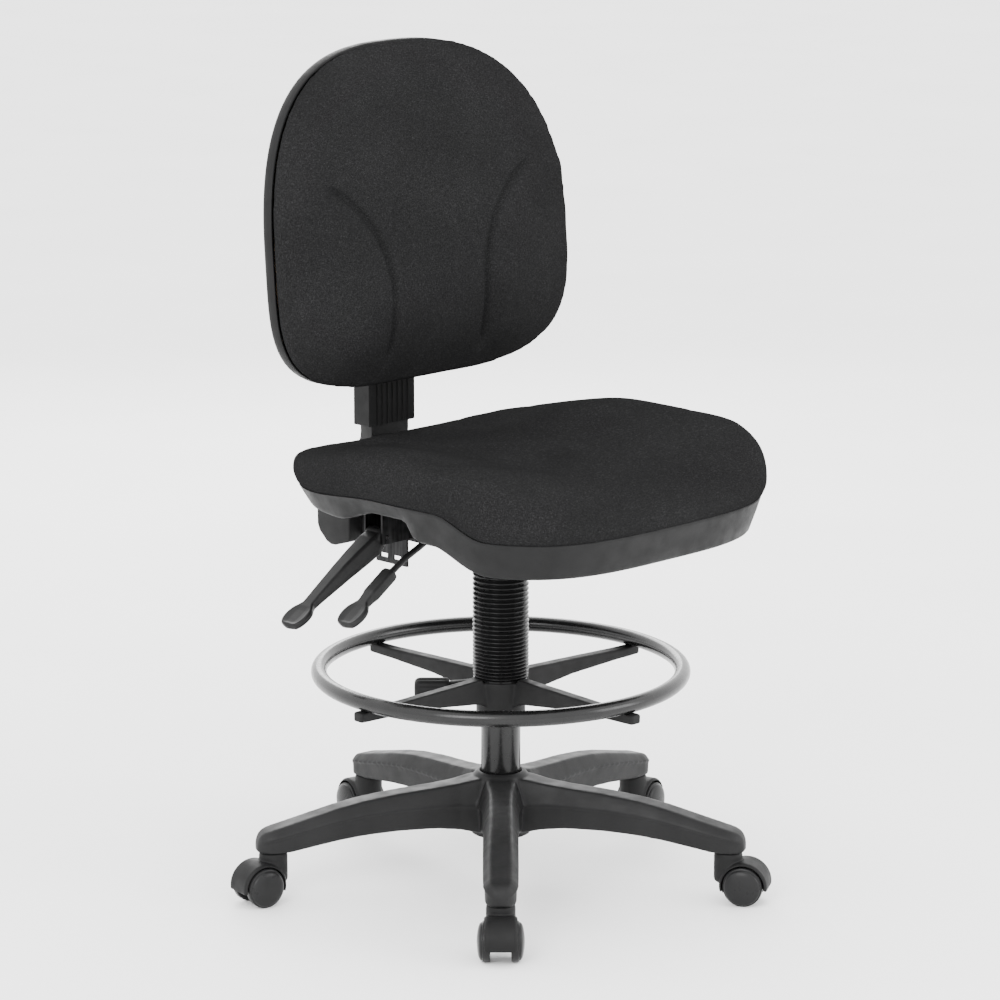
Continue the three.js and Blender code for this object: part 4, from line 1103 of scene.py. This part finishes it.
def back_cushion():
    """The back's cushion, stuffed, then creased where its panels are sewn together."""
    before_seam = lambda step: lambda x, z, share: rim_y(x, z) - 3.3 - step
    before_rim = lambda step: lambda x, z, share: rim_y(x, z) - RIM_HALF - step
    board = lambda x, z, share: shell_rear(x, z, share) - SHELL_WALL - GAP - BACK_BOARD - GAP
    rings = [back_ring(share, board) for share in (0.1, 0.3, 0.5, 0.65, 0.8, 0.88)]
    rings += [back_ring(share, depth) for share, depth in (
        (0.955, before_seam(0)), (0.985, before_seam(0.4)), (1.0, before_seam(3.4)), (1.004, before_seam(8)),
        (1.0, before_rim(1)), (0.988, before_rim(5)),
    )]
    front_shares = (0.965, 0.94, 0.9, 0.85, 0.78, 0.7, 0.6, 0.5, 0.4, 0.3, 0.2, 0.1)
    rings += [back_ring(share, cushion_front) for share in front_shares]
    pad = solid("back_pad", loft(rings), 180)
    puff(pad, 5, lambda p: 1.0 - 0.9 * ease(rim_y(p.x, p.z) - p.y, 6, 22))
    reshape(pad, back_creases)
    settle(pad, "back", "fabric", FABRIC, "back_cushion")


CREASE = [  # height, distance from the middle
    (640, 84), (700, 80), (765, 81), (800, 90), (828, 103), (856, 125), (876, 147), (893, 176),
]
GROOVE_DEPTH, GROOVE_WIDTH = 6.4, 4.6
WING_RISE = 3.6  # of the bolsters over the middle panel


def back_creases(p, normal):
    """The two sewn creases that part the side bolsters from the middle panel."""
    facing = ease(-normal.y, 0.3, 0.8)
    if facing <= 0:
        return Vector((0, 0, 0))
    line = along(CREASE, p.z)
    slope = (along(CREASE, p.z + 6) - along(CREASE, p.z - 6)) / 12
    distance = (abs(p.x) - line) / math.hypot(1, slope)
    fade = ease(p.z, 645, 690) * (1 - ease(p.z, 876, 906))
    groove = GROOVE_DEPTH * bell(distance, GROOVE_WIDTH)
    wing = WING_RISE * ease(distance, 0, 26) * (1 - ease(distance, 40, 105))
    return Vector((0, (groove - wing) * fade * facing, 0))


# ---- back bar, cover and sleeve

BAR_LINE = [
    (139, 438), (162, 434), (185, 431), (206, 429), (226, 430), (242, 436.5), (252, 446), (253.5, 460),
    (250, 474), (243, 489), (233, 506), (224, 519), (216, 532), (211.5, 543), (210.4, 552), (210.4, 600),
    (210.4, 700), (210.4, 770),
]
BAR_HALF_WIDTH = 32.5
ALONG_PIVOT = shift(0, *BAR_LINE[0]) @ rotation(90, "Y")
BOLT_ROOM = 3.3


def bar_outline(points, half):
    """A line in the Y-Z plane, thickened by half on either side."""
    sides = [[], []]
    for (y, z), tangent in zip(points, tangents(points)):
        for side, sign in zip(sides, (1, -1)):
            side.append((y - sign * half * tangent.y, z + sign * half * tangent.x))
    return sides[0] + sides[1][::-1]


def cover_of_bend():
    """The moulded cover round the bar's bend."""
    outline = [
        (220, 414), (223, 410.4), (248, 402.6), (256, 402.4), (264, 405.5), (277, 417.5), (281, 426),
        (282, 470), (279, 480), (268, 490.4), (262, 492), (223, 492), (220, 489),
    ]
    cover = rounded(solid("bend_cover", prism(outline, 54)), 5, 4, 30)
    bake(cover)
    smooth(cover.data, 40)
    room = solid("bar_room", prism(bar_outline(BAR_LINE[1:15], 11.6), 33))
    carve(cover, [room])
    settle(cover, "back_support", "satin_plastic", SHELL_PLASTIC, "back_bar_cover")


def sleeve_outline(half, front, rear, ridges):
    """Plan of the sleeve: ridged on its front and its rear."""
    points = []
    groove = 1.2
    for y, direction in ((front, 1), (rear, -1)):
        step = direction * 2 * half / ridges
        depth = groove * direction
        for k in range(ridges):
            start = -direction * half + k * step
            if k in (0, ridges - 1):
                points += [(start, y), (start + step, y)]
            else:
                points += [(start, y), (start + 0.3 * step, y), (start + 0.36 * step, y + depth),
                           (start + 0.64 * step, y + depth), (start + 0.7 * step, y), (start + step, y)]
    return points


def back_sleeve():
    """The sleeve that slides up and down the bar, ribbed, with its bolting flange."""
    low, high = corners("back_sleeve")
    bar_top = corners("back_bar")[1].z
    wall = 2.3
    room_half = 32.8
    plan = []
    for point in sleeve_outline(40, low.y, high.y, 9):
        if not plan or (Vector(point) - Vector(plan[-1])).length > 0.05:
            plan.append(point)
    room = [(clamp(x, -room_half, room_half), clamp(y, low.y + wall, high.y - wall)) for x, y in plan]
    middle = 210.5
    rings = [[(x, y, z) for x, y in room] for z in (bar_top + GAP, low.z)]
    rings.append([(x * 0.985, lerp(y, middle, 0.03), low.z) for x, y in plan])
    rings += [[(x, y, z) for x, y in plan] for z in (low.z + 1, high.z - 1.5)]
    rings.append([(x * 0.98, lerp(y, middle, 0.06), high.z) for x, y in plan])
    body = solid("sleeve_body", loft(rings), 30)
    settle(body, "back", "satin_plastic", SHELL_PLASTIC, "back_sleeve")
    bolt_height, flange_half = 745, 40
    heights = (bolt_height - flange_half, bolt_height + flange_half)
    for side, name, x_range in ((-1, "right", (-58, -40.05)), (1, "left", (40.05, 58))):
        wing = rounded(solid(f"sleeve_wing_{name}", block(x_range, (low.y, low.y + 5), heights)), 1.2)
        bake(wing)
        place = shift(side * 49, 0, bolt_height) @ rotation(-90, "X")
        carve(wing, [solid("bore", moved(rod(BOLT_ROOM, 150, 240), place))])
        settle(wing, "back", "satin_plastic", SHELL_PLASTIC)


def back_bar():
    """The bent bar from the recline pivot up into the back, with a boss round its pin."""
    obj = rounded(solid("bent_bar", prism(bar_outline(BAR_LINE, 11.2), BAR_HALF_WIDTH)), 2, 3, 50)
    bake(obj)
    smooth(obj.data, 40)
    boss = moved(chamfered_rod(15, BAR_HALF_WIDTH, 1, 48), ALONG_PIVOT)
    carve(obj, [solid("bar_boss_form", boss)], "UNION")
    carve(obj, [solid("pin_room", moved(rod(6.3, -60, 60, 40), ALONG_PIVOT))])
    settle(obj, "back_support", "black_steel", MATT_STEEL, "back_bar")


# ---- CAD nodes that stay


def dress(nodes, material, bevel=0.0):
    """A CAD node that stays gets its material and softly broken edges."""
    for name in nodes:
        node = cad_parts[name]
        paint(node, material)
        node.data.set_sharp_from_angle(angle=math.radians(30))
        if bevel:
            rounded(node, bevel, 2, 30)


def dress_cad():
    """Materials of the steel and plywood pieces that stay as they are."""
    each_caster = range(1, ARM_COUNT + 1)
    dress(["mechanism_housing", "mechanism_top_plate"], MATT_STEEL, 0.5)
    dress(["clamp_bracket"], BRACKET_STEEL, 0.6)
    dress(["recline_pivot_pin", "lift_piston", "lift_button"], ZINC, 0.4)
    dress([f"caster_stem_{k}" for k in each_caster], ZINC, 0.3)
    dress([f"caster_axle_{k}" for k in each_caster], ZINC, 0.3)
    dress([f"seat_bolt_{k}" for k in range(1, 5)], ZINC, 0.4)
    dress(["back_bolt_left", "back_bolt_right"], ZINC, 0.4)
    dress([f"footring_screw_{k}" for k in range(1, SPOKE_COUNT + 1)], BRACKET_STEEL, 0.3)
    dress(["recline_spring"], SPRING)
    dress(["seat_board", "back_board"], PLYWOOD, 0.8)


# ---- studio


def studio():
    """A pale floor that runs out of view, a white sky and three large soft lamps."""
    half = 30.0
    floor_mesh = bpy.data.meshes.new("floor")
    square = [(-half, -half, 0), (half, -half, 0), (half, half, 0), (-half, half, 0)]
    floor_mesh.from_pydata(square, [], [(0, 1, 2, 3)])
    floor = placed("floor", floor_mesh)
    shader = Shader("pale_floor", 0.8, specular=0.1)
    shader.colours(shader.noise(2.5, 2.0), [(0.3, (0.93, 0.93, 0.93)), (0.7, (0.96, 0.96, 0.96))])
    floor.data.materials.append(shader.material)
    world = bpy.context.scene.world or bpy.data.worlds.new("studio")
    bpy.context.scene.world = world
    world.use_nodes = True
    background = world.node_tree.nodes["Background"]
    background.inputs["Color"].default_value = (1, 1, 1, 1)
    background.inputs["Strength"].default_value = 3.3
    for name, place, aim, size, power in (
        ("key", (-2.9, -1.3, 2.0), (0, 0, 0.6), 1.6, 90),
        ("fill", (1.6, -3.0, 1.5), (0, 0, 0.5), 1.6, 60),
        ("rim", (1.8, 2.4, 1.8), (0, 0, 0.7), 1.4, 60),
    ):
        lamp = bpy.data.lights.new(name, "AREA")
        lamp.shape = "SQUARE"
        lamp.size = size
        lamp.energy = power
        obj = placed(name, lamp)
        obj.location = place
        obj.rotation_euler = (Vector(aim) - Vector(place)).to_track_quat("-Z", "Y").to_euler()


def camera():
    """The view from the front right of the sitter, a little above the seat, with a long lens."""
    distance, height, pitch = 5.0, 1.63797, 12.892
    data = bpy.data.cameras.new("camera")
    data.sensor_width = 36
    data.lens = 147.94
    data.shift_x = -0.00075
    obj = placed("camera", data)
    across = -distance * math.sqrt(0.5)
    obj.location = AXIS + Vector((across, across, height))
    obj.rotation_euler = (math.radians(90 - pitch), 0, math.radians(-45))
    bpy.context.scene.camera = obj


camera()
studio()
star_base()
casters()
outer_tube()
dust_bellows()
footring_tube()
footring_spider()
clamp_knob()
angle_lever()
height_lever()
seat_shell()
seat_cushion()
back_shell()
back_cushion()
cover_of_bend()
back_sleeve()
back_bar()
dress_cad()
